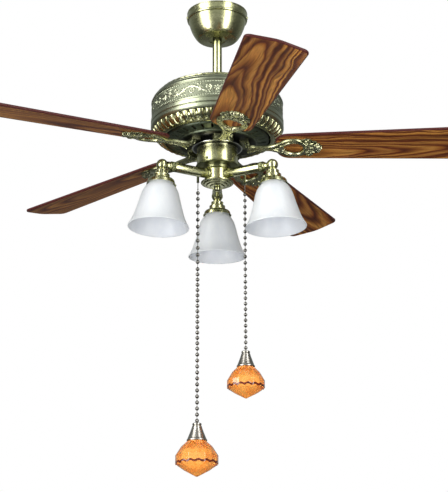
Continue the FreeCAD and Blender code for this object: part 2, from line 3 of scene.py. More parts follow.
import bmesh
import bpy
import numpy as np
from mathutils import Matrix, Vector, geometry


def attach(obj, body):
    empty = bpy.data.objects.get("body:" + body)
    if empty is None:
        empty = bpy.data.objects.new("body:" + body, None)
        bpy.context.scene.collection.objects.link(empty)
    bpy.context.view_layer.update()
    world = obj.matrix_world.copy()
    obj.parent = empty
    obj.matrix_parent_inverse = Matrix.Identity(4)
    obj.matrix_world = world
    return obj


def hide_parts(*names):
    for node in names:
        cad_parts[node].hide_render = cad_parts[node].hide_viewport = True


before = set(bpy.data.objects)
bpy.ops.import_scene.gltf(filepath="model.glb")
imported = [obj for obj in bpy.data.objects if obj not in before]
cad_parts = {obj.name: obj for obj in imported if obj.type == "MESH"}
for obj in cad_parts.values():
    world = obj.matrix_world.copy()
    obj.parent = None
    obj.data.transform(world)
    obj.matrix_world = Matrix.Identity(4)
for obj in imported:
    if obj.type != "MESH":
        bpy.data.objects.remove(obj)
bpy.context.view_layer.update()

SCENE = bpy.context.scene
SCENE.view_settings.view_transform = "Standard"

# ---------------------------------------------------------------- sizes, in mm, the same as the CAD's
ZB = -300.0
AZ0 = -79.0
PITCH, DROOP, PIVOT = 11.5, 1.6, 127.0
BLADE_T = 5.5
ARM_Z, BALL_AT, TILT = -57.0, 124.5, 3.0
ARM_AZ = {"left": -150.0, "right": -30.0, "back": 90.0}
CHAINS = {
    "left": dict(x=-38.6, y=8.0, gx=-31.5, gy=7.0, top=-85.0, cap=-556.0, r1=8.8, r2=19.6, ch=34.6,
                 rg=41.0, zg1=-618.0, zg2=-634.5, tip=-659.0, bead=7.6),
    "right": dict(x=55.3, y=14.0, gx=31.5, gy=9.0, top=-86.0, cap=-413.5, r1=8.4, r2=17.8, ch=32.2,
                  rg=36.5, zg1=-471.8, zg2=-486.3, tip=-507.5, bead=7.0),
}
TAU = 2 * math.pi

# ---------------------------------------------------------------- camera
cam_data = bpy.data.cameras.new("camera")
cam = bpy.data.objects.new("camera", cam_data)
SCENE.collection.objects.link(cam)
cam.location = (0.00046, -2.7982, -1.38237)
cam.rotation_euler = (math.radians(90.0) + 0.29365, 0.0, 0.0)
cam_data.lens = 108.93
cam_data.shift_x = 0.0133
cam_data.shift_y = 0.03146
cam_data.clip_end = 100.0
SCENE.camera = cam


# ---------------------------------------------------------------- mesh kit
def smooth_curve(pts, k=6):
    """Catmull-Rom through the points, k steps to each"""
    P = np.array(pts, float)
    Q = np.vstack([2 * P[0] - P[1], P, 2 * P[-1] - P[-2]])
    out = []
    for i in range(1, len(Q) - 2):
        p0, p1, p2, p3 = Q[i - 1], Q[i], Q[i + 1], Q[i + 2]
        for s in range(k):
            t = s / k
            out.append(0.5 * ((2 * p1) + (-p0 + p2) * t + (2 * p0 - 5 * p1 + 4 * p2 - p3) * t * t
                              + (-p0 + 3 * p1 - 3 * p2 + p3) * t ** 3))
    out.append(P[-1])
    return np.array(out)


def loop_curve(pts, k=6):
    P = np.array(pts, float)
    n = len(P)
    out = []
    for i in range(n):
        p0, p1, p2, p3 = P[i - 1], P[i], P[(i + 1) % n], P[(i + 2) % n]
        for s in range(k):
            t = s / k
            out.append(0.5 * ((2 * p1) + (-p0 + p2) * t + (2 * p0 - 5 * p1 + 4 * p2 - p3) * t * t
                              + (-p0 + 3 * p1 - 3 * p2 + p3) * t ** 3))
    return np.array(out)


def profile(items, k=6):
    """points (r, z), or lists of points that a smooth curve runs through from the point before"""
    out = []
    for it in items:
        if isinstance(it, tuple):
            out.append(it)
        else:
            c = smooth_curve([out[-1]] + list(it), k)
            out += [tuple(p) for p in c[1:]]
    return out


def fillet(pts, r=0.5, seg=3, closed=True, least=24.0):
    """rounds each corner of a profile that turns by more than least degrees"""
    P = [np.array(p, float) for p in pts]
    n = len(P)
    out = []
    for i, p in enumerate(P):
        if not closed and i in (0, n - 1):
            out.append(p)
            continue
        a, b = P[i - 1] - p, P[(i + 1) % n] - p
        la, lb = np.linalg.norm(a), np.linalg.norm(b)
        if la < 1e-9 or lb < 1e-9:
            out.append(p)
            continue
        a, b = a / la, b / lb
        turn = math.pi - math.acos(max(-1.0, min(1.0, float(a @ b))))
        if math.degrees(turn) < least or turn > 3.1 or p[0] < 1e-6:
            out.append(p)
            continue
        d = min(r * math.tan(turn / 2), 0.45 * la, 0.45 * lb)
        rr = d / math.tan(turn / 2)
        bis = (a + b) / np.linalg.norm(a + b)
        c = p + bis * math.hypot(rr, d)
        u0, u1 = p + a * d - c, p + b * d - c
        for s in range(seg + 1):
            t = s / seg
            out.append(c + (math.sin((1 - t) * turn) * u0 + math.sin(t * turn) * u1) / math.sin(turn))
    return [tuple(p) for p in out]


def revolve(prof, n=160, mod=None, closed=True):
    P = np.array(prof, float)
    m = len(P)
    th = np.arange(n) * TAU / n
    T = np.repeat(th[None, :], m, 0)
    R = np.repeat(P[:, :1], n, 1)
    Z = np.repeat(P[:, 1:2], n, 1)
    if mod is not None:
        R, Z = mod(T, R, Z)
    V = np.stack([R * np.cos(T), R * np.sin(T), Z], 2).reshape(-1, 3)
    I = np.arange(m if closed else m - 1)
    J = np.arange(n)
    I, J = np.meshgrid(I, J, indexing="ij")
    I2, J2 = (I + 1) % m, (J + 1) % n
    F = np.stack([I * n + J, I * n + J2, I2 * n + J2, I2 * n + J], 2).reshape(-1, 4)
    return V, F


def ball(c, r, nu=28, nv=16, sz=1.0):
    pts = [(r * math.sin(math.pi * i / nv), r * sz * math.cos(math.pi * i / nv)) for i in range(nv + 1)]
    V, F = revolve(pts, nu, closed=False)
    return V + np.array(c, float), F


def pipe(path, r, n=14, cap=True):
    """round tube along points; r is one radius or one for each point"""
    P = np.array(path, float)
    m = len(P)
    r = np.full(m, r, float) if np.isscalar(r) else np.array(r, float)
    T = np.gradient(P, axis=0)
    T /= np.linalg.norm(T, axis=1)[:, None]
    a = np.array([0, 0, 1.0]) if abs(T[0][2]) < 0.8 else np.array([1.0, 0, 0])
    u = np.cross(a, T[0]); u /= np.linalg.norm(u)
    V = []
    for i in range(m):
        u = u - (u @ T[i]) * T[i]
        u /= np.linalg.norm(u)
        w = np.cross(T[i], u)
        for j in range(n):
            t = TAU * j / n
            V.append(P[i] + r[i] * (math.cos(t) * u + math.sin(t) * w))
    F = [[i * n + j, i * n + (j + 1) % n, (i + 1) * n + (j + 1) % n, (i + 1) * n + j] for i in range(m - 1) for j in range(n)]
    if cap:
        F.append(list(range(n))[::-1])
        F.append([(m - 1) * n + j for j in range(n)])
    return np.array(V), F


def merge(parts):
    V, F, k = [], [], 0
    for v, f in parts:
        V.append(np.asarray(v, float))
        F += [[int(i) + k for i in q] for q in f]
        k += len(v)
    return np.vstack(V), F


def moved(vf, M):
    """M is a 4x4 in mm"""
    V, F = vf
    A = np.array(M, float)
    return V @ A[:3, :3].T + A[:3, 3], F


def rot(axis, deg):
    return Matrix.Rotation(math.radians(deg), 4, axis)


def trans(x, y, z):
    return Matrix.Translation((x, y, z))


def to_x():
    """turns +Z onto +X"""
    return rot("Y", 90)


def build(name, vf, angle=38.0, weld=2e-6, attrs=None):
    V, F = vf
    me = bpy.data.meshes.new(name)
    me.from_pydata((np.asarray(V, float) * 0.001).tolist(), [], [list(map(int, f)) for f in F])
    for key, val in (attrs or {}).items():
        a = me.attributes.new(key, "FLOAT", "POINT")
        a.data.foreach_set("value", np.asarray(val, np.float32))
    bm = bmesh.new()
    bm.from_mesh(me)
    if weld:
        bmesh.ops.remove_doubles(bm, verts=bm.verts, dist=weld)
        bmesh.ops.dissolve_degenerate(bm, dist=1e-7, edges=bm.edges)
    bmesh.ops.recalc_face_normals(bm, faces=bm.faces)
    bm.to_mesh(me)
    bm.free()
    if angle is None:
        for p in me.polygons:
            p.use_smooth = False
    else:
        me.shade_smooth()
        me.set_sharp_from_angle(angle=math.radians(angle))
    return me


def piece(name, me, mat, body, stands=(), matrix=None):
    o = bpy.data.objects.new(name, me)
    SCENE.collection.objects.link(o)
    if matrix is not None:
        M = matrix.copy()
        M.translation = M.translation * 0.001
        o.matrix_world = M
    if mat is not None and not me.materials:
        me.materials.append(mat)
    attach(o, body)
    if stands:
        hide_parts(*stands)
    return o


def turned(name, items, mat, body, stands=(), n=192, r=0.5, seg=3, k=6, mod=None, z=ZB, angle=38.0):
    """a turned part on the fan's own axis, made where it hangs"""
    vf = revolve(fillet(profile(items, k), r, seg), n, mod)
    vf = moved(vf, trans(0, 0, z))
    return piece(name, build(name, vf, angle), mat, body, stands)


def inside(poly, pts):
    poly = np.asarray(poly)
    x, y = pts[:, 0], pts[:, 1]
    res = np.zeros(len(pts), bool)
    n = len(poly)
    for i in range(n):
        x0, y0 = poly[i]
        x1, y1 = poly[(i + 1) % n]
        hit = (y0 > y) != (y1 > y)
        if abs(y1 - y0) > 1e-12:
            res ^= hit & (x < (x1 - x0) * (y - y0) / (y1 - y0) + x0)
    return res


def edge_distance(poly, pts):
    A = np.asarray(poly, float)
    B = np.roll(A, -1, 0)
    out = np.full(len(pts), 1e9)
    for s in range(0, len(pts), 4000):
        P = pts[s:s + 4000, None, :]
        d = B - A
        t = np.clip(((P - A) * d).sum(2) / np.maximum((d * d).sum(1), 1e-12), 0, 1)
        q = A + t[..., None] * d
        out[s:s + 4000] = np.sqrt(((P - q) ** 2).sum(2)).min(1)
    return out


def flat_mesh(outline, holes, step):
    """triangles of a flat shape with holes, with points inside it about step apart"""
    outline = np.asarray(outline, float)
    lo, hi = outline.min(0), outline.max(0)
    xs = np.arange(lo[0] + step / 2, hi[0], step)
    ys = np.arange(lo[1] + step * 0.43, hi[1], step * 0.866)
    G = np.array([(x + (step / 2 if i % 2 else 0), y) for i, y in enumerate(ys) for x in xs])
    keep = inside(outline, G) & (edge_distance(outline, G) > step * 0.55)
    for h in holes:
        keep &= ~inside(h, G) & (edge_distance(h, G) > step * 0.55)
    G = G[keep]
    pts = [tuple(p) for p in outline]
    edges = [(i, (i + 1) % len(outline)) for i in range(len(outline))]
    for h in holes:
        b = len(pts)
        pts += [tuple(p) for p in h]
        edges += [(b + i, b + (i + 1) % len(h)) for i in range(len(h))]
    pts += [tuple(p) for p in G]
    v, e, f, *_ = geometry.delaunay_2d_cdt([Vector(p) for p in pts], edges, [], 0, 1e-6)
    P = np.array([tuple(p) for p in v])
    T = np.array([list(t) for t in f])
    c = P[T].mean(1)
    keep = inside(outline, c)
    for h in holes:
        keep &= ~inside(h, c)
    return P, T[keep]


def slab(P, T, top, low):
    """closed solid between two surfaces over the same triangles; top and low are (k, 3) points"""
    k = len(P)
    count = {}
    for t in T:
        for i in range(3):
            e = (int(t[i]), int(t[(i + 1) % 3]))
            count[e] = count.get(e, 0) + 1
    F = [list(map(int, t)) for t in T]
    F += [[int(t[2]) + k, int(t[1]) + k, int(t[0]) + k] for t in T]
    for (a, b) in count:
        if (b, a) not in count:
            F.append([b, a, a + k, b + k])
    return np.vstack([top, low]), F


def ridges(P, strokes):
    """height of rounded ridges along polylines: (points, half width at each end, height at each end)"""
    H = np.zeros(len(P))
    for pts, w0, w1, h0, h1 in strokes:
        A = np.asarray(pts, float)
        a, b = A[:-1], A[1:]
        seg = np.linalg.norm(b - a, axis=1)
        L = np.concatenate([[0], np.cumsum(seg)])
        lo, hi = A.min(0) - max(w0, w1), A.max(0) + max(w0, w1)
        near = np.where((P >= lo).all(1) & (P <= hi).all(1))[0]
        if not len(near):
            continue
        for s in range(0, len(near), 4000):
            idx = near[s:s + 4000]
            Q = P[idx][:, None, :]
            d = b - a
            t = np.clip(((Q - a) * d).sum(2) / np.maximum(seg ** 2, 1e-12), 0, 1)
            dist = np.sqrt(((Q - (a + t[..., None] * d)) ** 2).sum(2))
            u = (L[:-1] + t * seg) / L[-1]
            w = w0 + (w1 - w0) * u
            h = h0 + (h1 - h0) * u
            val = h * np.sqrt(np.maximum(0, 1 - (dist / w) ** 2))
            H[idx] = np.maximum(H[idx], val.max(1))
    return H


def volute(cx, cy, r0, r1, a0, turns, n=44):
    """spiral from radius r0 at angle a0 (degrees) in to r1"""
    t = np.linspace(0, 1, n)
    r = r0 + (r1 - r0) * t ** 0.8
    a = np.radians(a0) + TAU * turns * t
    return np.stack([cx + r * np.cos(a), cy + r * np.sin(a)], 1)


# ---------------------------------------------------------------- material kit
class Mat:
    def __init__(self, name):
        self.m = bpy.data.materials.new(name)
        self.m.use_nodes = True
        self.t = self.m.node_tree
        self.t.nodes.clear()
        self.out = self.t.nodes.new("ShaderNodeOutputMaterial")
        self.b = self.t.nodes.new("ShaderNodeBsdfPrincipled")
        self.t.links.new(self.b.outputs[0], self.out.inputs["Surface"])

    def set(self, **kw):
        for k, v in kw.items():
            s = self.b.inputs[k.replace("_", " ")]
            if isinstance(v, bpy.types.NodeSocket):
                self.t.links.new(v, s)
            elif s.type == "RGBA" and len(v) == 3:
                s.default_value = (*v, 1.0)
            else:
                s.default_value = v
        return self

    def put(self, sock, v):
        if isinstance(v, bpy.types.NodeSocket):
            self.t.links.new(v, sock)
        elif v is not None:
            if sock.type == "RGBA" and len(v) == 3:
                v = (*v, 1.0)
            sock.default_value = v

    def coord(self, which="Object"):
        n = self.t.nodes.new("ShaderNodeTexCoord")
        return n.outputs[which]

    def map(self, vec, scale=(1, 1, 1), loc=(0, 0, 0), rot=(0, 0, 0)):
        n = self.t.nodes.new("ShaderNodeMapping")
        self.put(n.inputs["Vector"], vec)
        n.inputs["Scale"].default_value = scale
        n.inputs["Location"].default_value = loc
        n.inputs["Rotation"].default_value = rot
        return n.outputs[0]

    def noise(self, vec, scale=5.0, detail=2.0, rough=0.5, dist=0.0, out="Fac"):
        n = self.t.nodes.new("ShaderNodeTexNoise")
        self.put(n.inputs["Vector"], vec)
        n.inputs["Scale"].default_value = scale
        n.inputs["Detail"].default_value = detail
        n.inputs["Roughness"].default_value = rough
        n.inputs["Distortion"].default_value = dist
        return n.outputs[out]

    def voronoi(self, vec, scale, feature="F1", out="Distance"):
        n = self.t.nodes.new("ShaderNodeTexVoronoi")
        n.feature = feature
        self.put(n.inputs["Vector"], vec)
        n.inputs["Scale"].default_value = scale
        return n.outputs[out]

    def math(self, op, a, b=None, c=None, clamp=False):
        n = self.t.nodes.new("ShaderNodeMath")
        n.operation = op
        n.use_clamp = clamp
        self.put(n.inputs[0], a)
        if b is not None:
            self.put(n.inputs[1], b)
        if c is not None:
            self.put(n.inputs[2], c)
        return n.outputs[0]

    def vmath(self, op, a, b=None):
        n = self.t.nodes.new("ShaderNodeVectorMath")
        n.operation = op
        self.put(n.inputs[0], a)
        if b is not None:
            self.put(n.inputs[1], b)
        return n.outputs["Value" if op in ("LENGTH", "DOT_PRODUCT", "DISTANCE") else "Vector"]

    def split(self, vec):
        n = self.t.nodes.new("ShaderNodeSeparateXYZ")
        self.put(n.inputs[0], vec)
        return n.outputs[0], n.outputs[1], n.outputs[2]

    def join(self, x, y, z):
        n = self.t.nodes.new("ShaderNodeCombineXYZ")
        for s, v in zip(n.inputs, (x, y, z)):
            self.put(s, v)
        return n.outputs[0]

    def mix(self, fac, a, b, mode="MIX"):
        n = self.t.nodes.new("ShaderNodeMix")
        n.data_type = "RGBA"
        n.blend_type = mode
        self.put(n.inputs[0], fac)
        self.put(n.inputs[6], a)
        self.put(n.inputs[7], b)
        return n.outputs[2]

    def ramp(self, fac, stops, mode="LINEAR"):
        n = self.t.nodes.new("ShaderNodeValToRGB")
        self.put(n.inputs[0], fac)
        n.color_ramp.interpolation = mode
        el = n.color_ramp.elements
        while len(el) > 1:
            el.remove(el[-1])
        for i, (p, c) in enumerate(stops):
            e = el[0] if i == 0 else el.new(p)
            e.position = p
            if np.isscalar(c):
                c = (c, c, c)
            e.color = (*c, 1.0) if len(c) == 3 else c
        return n.outputs[0]

    def attr(self, name):
        n = self.t.nodes.new("ShaderNodeAttribute")
        n.attribute_name = name
        return n.outputs["Fac"]

    def bump(self, height, strength=0.3, dist=0.001, normal=None):
        n = self.t.nodes.new("ShaderNodeBump")
        n.inputs["Strength"].default_value = strength
        n.inputs["Distance"].default_value = dist
        self.put(n.inputs["Height"], height)
        if normal is not None:
            self.put(n.inputs["Normal"], normal)
        return n.outputs[0]

    def range(self, v, a, b, c, d):
        n = self.t.nodes.new("ShaderNodeMapRange")
        self.put(n.inputs["Value"], v)
        n.inputs["From Min"].default_value = a
        n.inputs["From Max"].default_value = b
        n.inputs["To Min"].default_value = c
        n.inputs["To Max"].default_value = d
        return n.outputs[0]


def brass(name, light=(0.64, 0.63, 0.375), dark=(0.44, 0.445, 0.235), rough=(0.20, 0.30), relief=False, brushed=(1, 1, 1),
          pit=(0.060, 0.070, 0.030), coat=0.25, metal=1.0):
    m = Mat(name)
    o = m.coord()
    big = m.noise(o, 28.0, 4.0, 0.6)
    fine = m.noise(m.map(o, brushed), 900.0, 3.0, 0.6)
    col = m.mix(m.ramp(big, [(0.32, 0.0), (0.68, 1.0)]), dark, light)
    tiny = m.ramp(m.noise(o, 420.0, 3.0, 0.7), [(0.42, 0.86), (0.62, 1.04)])
    col = m.mix(1.0, col, tiny, "MULTIPLY")
    r = m.range(m.noise(o, 60.0, 5.0, 0.7), 0.3, 0.7, rough[0], rough[1])
    if relief:
        h = m.attr("relief")
        # pit colour in hollows is patina; on the shade holders' slots it paints their shade
        col = m.mix(m.ramp(h, [(0.05, 1.0), (0.42, 0.0)]), col, pit)
        # raised parts lighter: rubbed wear, and partly a painted highlight
        col = m.mix(m.ramp(h, [(0.55, 0.0), (0.95, 0.65)]), col, (0.72, 0.72, 0.52))
        r = m.math("ADD", r, m.ramp(h, [(0.05, 0.22), (0.45, 0.0)]))
    m.set(Base_Color=col, Roughness=r, Metallic=metal, Coat_Weight=coat, Coat_Roughness=0.12)
    m.set(Normal=m.bump(fine, 0.10, 0.0002))
    return m.m


BRASS = brass("antique_brass")
BRASS_RELIEF = brass("antique_brass_relief", relief=True)
BRASS_SIDE = brass("antique_brass_housing", light=(0.44, 0.46, 0.335), dark=(0.30, 0.33, 0.225), rough=(0.26, 0.36), relief=True, pit=(0.17, 0.185, 0.13))
BRASS_DARK = brass("antique_brass_dark", light=(0.22, 0.23, 0.11), dark=(0.10, 0.11, 0.05), rough=(0.32, 0.48))


def dark_shell():
    m = Mat("motor_shell_dark")
    o = m.coord()
    x, y, z = m.split(o)
    rad = m.math("SQRT", m.math("ADD", m.math("MULTIPLY", x, x), m.math("MULTIPLY", y, y)))
    band = m.ramp(m.range(rad, 0.060, 0.110, 0.0, 1.0), [(0.0, (0.012, 0.013, 0.011)), (0.30, (0.015, 0.017, 0.014)), (0.42, (0.16, 0.19, 0.12)),
                                                          (0.80, (0.11, 0.14, 0.09)), (0.92, (0.05, 0.06, 0.04))])
    spot = m.ramp(m.noise(o, 90.0, 5.0, 0.65), [(0.35, 0.7), (0.7, 1.15)])
    m.set(Base_Color=m.mix(1.0, band, spot, "MULTIPLY"), Metallic=0.85, Roughness=m.range(m.noise(o, 70.0, 4.0, 0.6), 0.3, 0.7, 0.32, 0.5),
          Coat_Weight=0.2, Coat_Roughness=0.2)
    m.set(Normal=m.bump(m.noise(o, 700.0, 3.0, 0.6), 0.12, 0.0003))
    return m.m


def steel(name, col=(0.62, 0.63, 0.62), rough=(0.22, 0.36), brushed=(1, 1, 40), tint=0.85):
    m = Mat(name)
    o = m.coord()
    c = m.mix(m.ramp(m.noise(o, 45.0, 4.0, 0.6), [(0.3, 0.0), (0.7, 1.0)]), tuple(x * tint for x in col), col)
    line = m.noise(m.map(o, brushed), 160.0, 4.0, 0.7)
    m.set(Base_Color=c, Metallic=1.0, Roughness=m.range(line, 0.3, 0.7, rough[0], rough[1]), Normal=m.bump(line, 0.08, 0.0002))
    return m.m


def plastic(name, col, rough=0.45, grain=900.0, amount=0.15):
    m = Mat(name)
    o = m.coord()
    g = m.noise(o, grain, 3.0, 0.6)
    c = m.mix(m.ramp(m.noise(o, 35.0, 3.0, 0.5), [(0.3, 0.0), (0.7, 1.0)]), tuple(x * 0.82 for x in col), col)
    m.set(Base_Color=c, Roughness=m.range(g, 0.3, 0.7, rough - 0.06, rough + 0.08), Normal=m.bump(g, amount, 0.0003))
    return m.m


ZINC = steel("zinc_steel")
BRIGHT = steel("polished_steel", (0.86, 0.86, 0.84), (0.08, 0.18), (1, 1, 60), 0.93)
LAMINATE = steel("lamination_steel", (0.36, 0.36, 0.38), (0.35, 0.5), (1, 1, 1200))
RUBBER = plastic("black_rubber", (0.03, 0.03, 0.03), 0.75, 1200.0, 0.3)
NYLON = plastic("black_nylon", (0.045, 0.045, 0.045), 0.5)
PVC = plastic("wire_pvc", (0.82, 0.82, 0.80), 0.42)
PORCELAIN = plastic("white_porcelain", (0.86, 0.86, 0.83), 0.22, 300.0, 0.04)
SHELL = dark_shell()


def plate():
    """plated rim; the face that shows round the switch cup is painted near-black, a painted shade"""
    m = Mat("switch_plate_painted_shade")
    o = m.coord()
    x, y, z = m.split(o)
    rad = m.math("SQRT", m.math("ADD", m.math("MULTIPLY", x, x), m.math("MULTIPLY", y, y)))
    # painted shade: near-black inside about r 48 mm, the bright plated colour only at the rim
    c = m.ramp(m.range(rad, 0.040, 0.051, 0.0, 1.0), [(0.0, (0.016, 0.017, 0.015)), (0.66, (0.030, 0.032, 0.028)), (0.78, (0.80, 0.80, 0.76)), (1.0, (0.90, 0.90, 0.87))])
    spot = m.ramp(m.noise(o, 110.0, 4.0, 0.6), [(0.35, 0.82), (0.7, 1.1)])
    m.set(Base_Color=m.mix(1.0, c, spot, "MULTIPLY"), Metallic=1.0, Roughness=m.range(m.noise(o, 80.0, 4.0, 0.6), 0.3, 0.7, 0.12, 0.26),
          Normal=m.bump(m.noise(o, 900.0, 3.0, 0.6), 0.06, 0.0002))
    return m.m


PLATE_PAINTED_SHADE = plate()


def copper():
    m = Mat("copper_winding")
    o = m.coord()
    x, y, z = m.split(o)
    rad = m.math("SQRT", m.math("ADD", m.math("MULTIPLY", x, x), m.math("MULTIPLY", y, y)))
    w = m.math("SINE", m.math("MULTIPLY", rad, 6000.0))
    m.set(Base_Color=m.mix(m.range(w, -1, 1, 0, 1), (0.42, 0.13, 0.05), (0.78, 0.34, 0.14)), Metallic=0.9, Roughness=0.34,
          Normal=m.bump(w, 0.5, 0.0004))
    return m.m


COPPER = copper()


def wood(k):
    """walnut veneer with long wavy rings, along the blade"""
    m = Mat("walnut_blade_%d" % k)
    o = m.coord()
    seed = 3.7 * k
    x, y, z = m.split(o)
    slow = m.noise(m.map(o, (4.2, 11.0, 1.0), (seed, 1.3 * seed, 0)), 1.0, 2.0, 0.5)
    mid = m.noise(m.map(o, (10.0, 24.0, 1.0), (2.1 * seed, seed, 3)), 1.0, 2.0, 0.5)
    small = m.noise(m.map(o, (26.0, 120.0, 1.0), (seed, seed, 7)), 1.0, 2.0, 0.55)
    yy = m.math("ADD", y, m.math("MULTIPLY", m.math("SUBTRACT", slow, 0.5), 0.050))
    yy = m.math("ADD", yy, m.math("MULTIPLY", m.math("SUBTRACT", mid, 0.5), 0.015))
    yy = m.math("ADD", yy, m.math("MULTIPLY", m.math("SUBTRACT", small, 0.5), 0.0026))
    yy = m.math("ADD", yy, (0.026, -0.020, 0.024, -0.018, 0.022)[k % 5])
    depth = m.math("ADD", 0.020 + 0.004 * (k % 3), m.math("MULTIPLY", m.math("SUBTRACT", x, 0.10), 0.065))
    r = m.math("SQRT", m.math("ADD", m.math("MULTIPLY", yy, yy), m.math("MULTIPLY", depth, depth)))
    v = m.math("DIVIDE", r, 0.0071)
    v = m.math("ADD", v, m.math("MULTIPLY", m.noise(m.join(m.math("MULTIPLY", r, 70.0), seed, 0.0), 1.0, 2.0, 0.5), 2.6))
    f = m.math("FRACT", v)
    n = m.t.nodes.new("ShaderNodeTexWhiteNoise")
    n.noise_dimensions = "1D"
    m.put(n.inputs["W"], m.math("FLOOR", v))
    each = n.outputs["Value"]
    ring = m.ramp(f, [(0.0, (0.060, 0.014, 0.007)), (0.10, (0.105, 0.026, 0.010)), (0.24, (0.26, 0.088, 0.020)), (0.42, (0.50, 0.205, 0.042)),
                      (0.66, (0.64, 0.300, 0.068)), (0.84, (0.41, 0.140, 0.026)), (0.95, (0.150, 0.038, 0.012)), (1.0, (0.060, 0.014, 0.007))])
    plum = m.mix(m.math("MULTIPLY", m.ramp(each, [(0.45, 0.0), (0.7, 1.0)]), 0.55), ring, (0.150, 0.042, 0.018))
    fib = m.noise(m.map(m.join(x, yy, z), (26.0, 900.0, 300.0), (seed, 0, 0)), 1.0, 4.0, 0.6)
    col = m.mix(1.0, plum, m.ramp(fib, [(0.30, 0.62), (0.52, 1.0), (0.72, 1.22)]), "MULTIPLY")
    streak = m.noise(m.map(m.join(x, yy, z), (7.0, 300.0, 60.0), (seed, 3.0, 0)), 1.0, 3.0, 0.6)
    col = m.mix(1.0, col, m.ramp(streak, [(0.34, 0.50), (0.48, 0.95), (0.66, 1.16)]), "MULTIPLY")
    pore = m.noise(m.map(m.join(x, yy, z), (70.0, 2400.0, 300.0), (0, seed, 0)), 1.0, 2.0, 0.5)
    pits = m.ramp(pore, [(0.60, 0.0), (0.68, 1.0)])
    col = m.mix(m.math("MULTIPLY", pits, 0.55), col, (0.045, 0.014, 0.010))
    patch = m.ramp(m.noise(m.map(o, (9.0, 14.0, 1.0), (seed * 0.7, 2, 0)), 1.0, 3.0, 0.5), [(0.3, 0.84), (0.7, 1.22)])
    col = m.mix(1.0, col, patch, "MULTIPLY")
    col = m.mix(m.attr("edge"), col, (0.085, 0.022, 0.020))
    h = m.math("SUBTRACT", m.math("MULTIPLY", fib, 0.4), m.math("MULTIPLY", pits, 0.6))
    m.set(Base_Color=col, Roughness=m.range(fib, 0.3, 0.7, 0.36, 0.46), Coat_Weight=0.0, Coat_Roughness=0.25, Specular_IOR_Level=0.12, Normal=m.bump(h, 0.18, 0.0003))
    return m.m


def shade_glass():
    m = Mat("frosted_glass")
    o = m.coord()
    cloud = m.noise(m.map(o, (1, 1, 0.55)), 26.0, 5.0, 0.62, 0.8)
    vein = m.noise(m.map(o, (1, 1, 0.4)), 60.0, 4.0, 0.6, 2.2)
    c = m.mix(m.ramp(cloud, [(0.32, 0.0), (0.70, 1.0)]), (0.79, 0.825, 0.915), (0.85, 0.88, 0.95))
    c = m.mix(m.math("MULTIPLY", m.ramp(vein, [(0.52, 0.0), (0.60, 1.0)]), 0.25), c, (0.91, 0.93, 0.975))
    m.set(Base_Color=c, Roughness=m.range(cloud, 0.3, 0.7, 0.34, 0.44), Subsurface_Weight=0.55, Subsurface_Scale=0.006,
          Subsurface_Radius=(1.0, 1.0, 1.0), IOR=1.5, Coat_Weight=0.15, Coat_Roughness=0.25)
    m.set(Normal=m.bump(m.noise(o, 1300.0, 2.0, 0.5), 0.06, 0.0002))
    return m.m


GLASS = shade_glass()


def bulb_glass():
    m = Mat("frosted_bulb")
    o = m.coord()
    c = m.mix(m.ramp(m.noise(o, 40.0, 3.0, 0.5), [(0.3, 0.0), (0.7, 1.0)]), (0.88, 0.88, 0.84), (0.94, 0.94, 0.92))
    m.set(Base_Color=c, Roughness=m.range(m.noise(o, 200.0, 3.0, 0.5), 0.3, 0.7, 0.28, 0.4), Subsurface_Weight=0.4, Subsurface_Scale=0.004,
          Subsurface_Radius=(1.0, 1.0, 1.0))
    return m.m


BULB = bulb_glass()


def gunmetal():
    m = Mat("gunmetal")
    o = m.coord()
    c = m.mix(m.ramp(m.noise(o, 160.0, 4.0, 0.6), [(0.35, 0.0), (0.65, 1.0)]), (0.12, 0.113, 0.105), (0.26, 0.25, 0.235))
    m.set(Base_Color=c, Metallic=1.0, Roughness=m.range(m.noise(o, 400.0, 3.0, 0.6), 0.3, 0.7, 0.16, 0.30), Coat_Weight=0.4, Coat_Roughness=0.08)
    m.set(Normal=m.bump(m.noise(o, 1500.0, 2.0, 0.5), 0.08, 0.0002))
    return m.m


GUN = gunmetal()
NICKEL = steel("brushed_nickel", (0.43, 0.41, 0.375), (0.24, 0.38), (1, 1, 14))


def amber():
    m = Mat("amber_crystal")
    o = m.coord()
    swirl = m.noise(o, 55.0, 4.0, 0.6, 1.6)
    c = m.mix(m.ramp(swirl, [(0.30, 0.0), (0.70, 1.0)]), (0.93, 0.26, 0.030), (1.0, 0.54, 0.135))
    m.set(Base_Color=c, Roughness=m.range(m.noise(o, 240.0, 3.0, 0.5), 0.3, 0.7, 0.02, 0.07), Transmission_Weight=0.62, IOR=1.52,
          Coat_Weight=0.5, Coat_Roughness=0.03)
    return m.m


AMBER = amber()


def amber_dark():
    m = Mat("amber_line")
    o = m.coord()
    c = m.mix(m.ramp(m.noise(o, 120.0, 4.0, 0.6), [(0.35, 0.0), (0.65, 1.0)]), (0.10, 0.012, 0.004), (0.30, 0.042, 0.008))
    m.set(Base_Color=c, Roughness=m.range(m.noise(o, 300.0, 2.0, 0.5), 0.3, 0.7, 0.08, 0.16), Transmission_Weight=0.2, Coat_Weight=0.4, Coat_Roughness=0.05)
    return m.m


AMBER_LINE = amber_dark()


# ---------------------------------------------------------------- the cords first: two bead chains
def bead_heights(side):
    """where each bead hangs, in mm from the blade plane"""
    if side == "left":
        z = [-91.2, -103.6]
        while len(z) < 12:
            z.append(z[-1] - 14.6)
        while z[-1] > -400.0:
            z.append(z[-1] - 10.7)
        while z[-1] - 11.75 > -553.5:
            z.append(z[-1] - 11.75)
        return z
    z = [-92.0]
    while len(z) < 15:
        z.append(z[-1] - 13.0)
    while z[-1] - 11.0 > -411.0:
        z.append(z[-1] - 11.1)
    return z


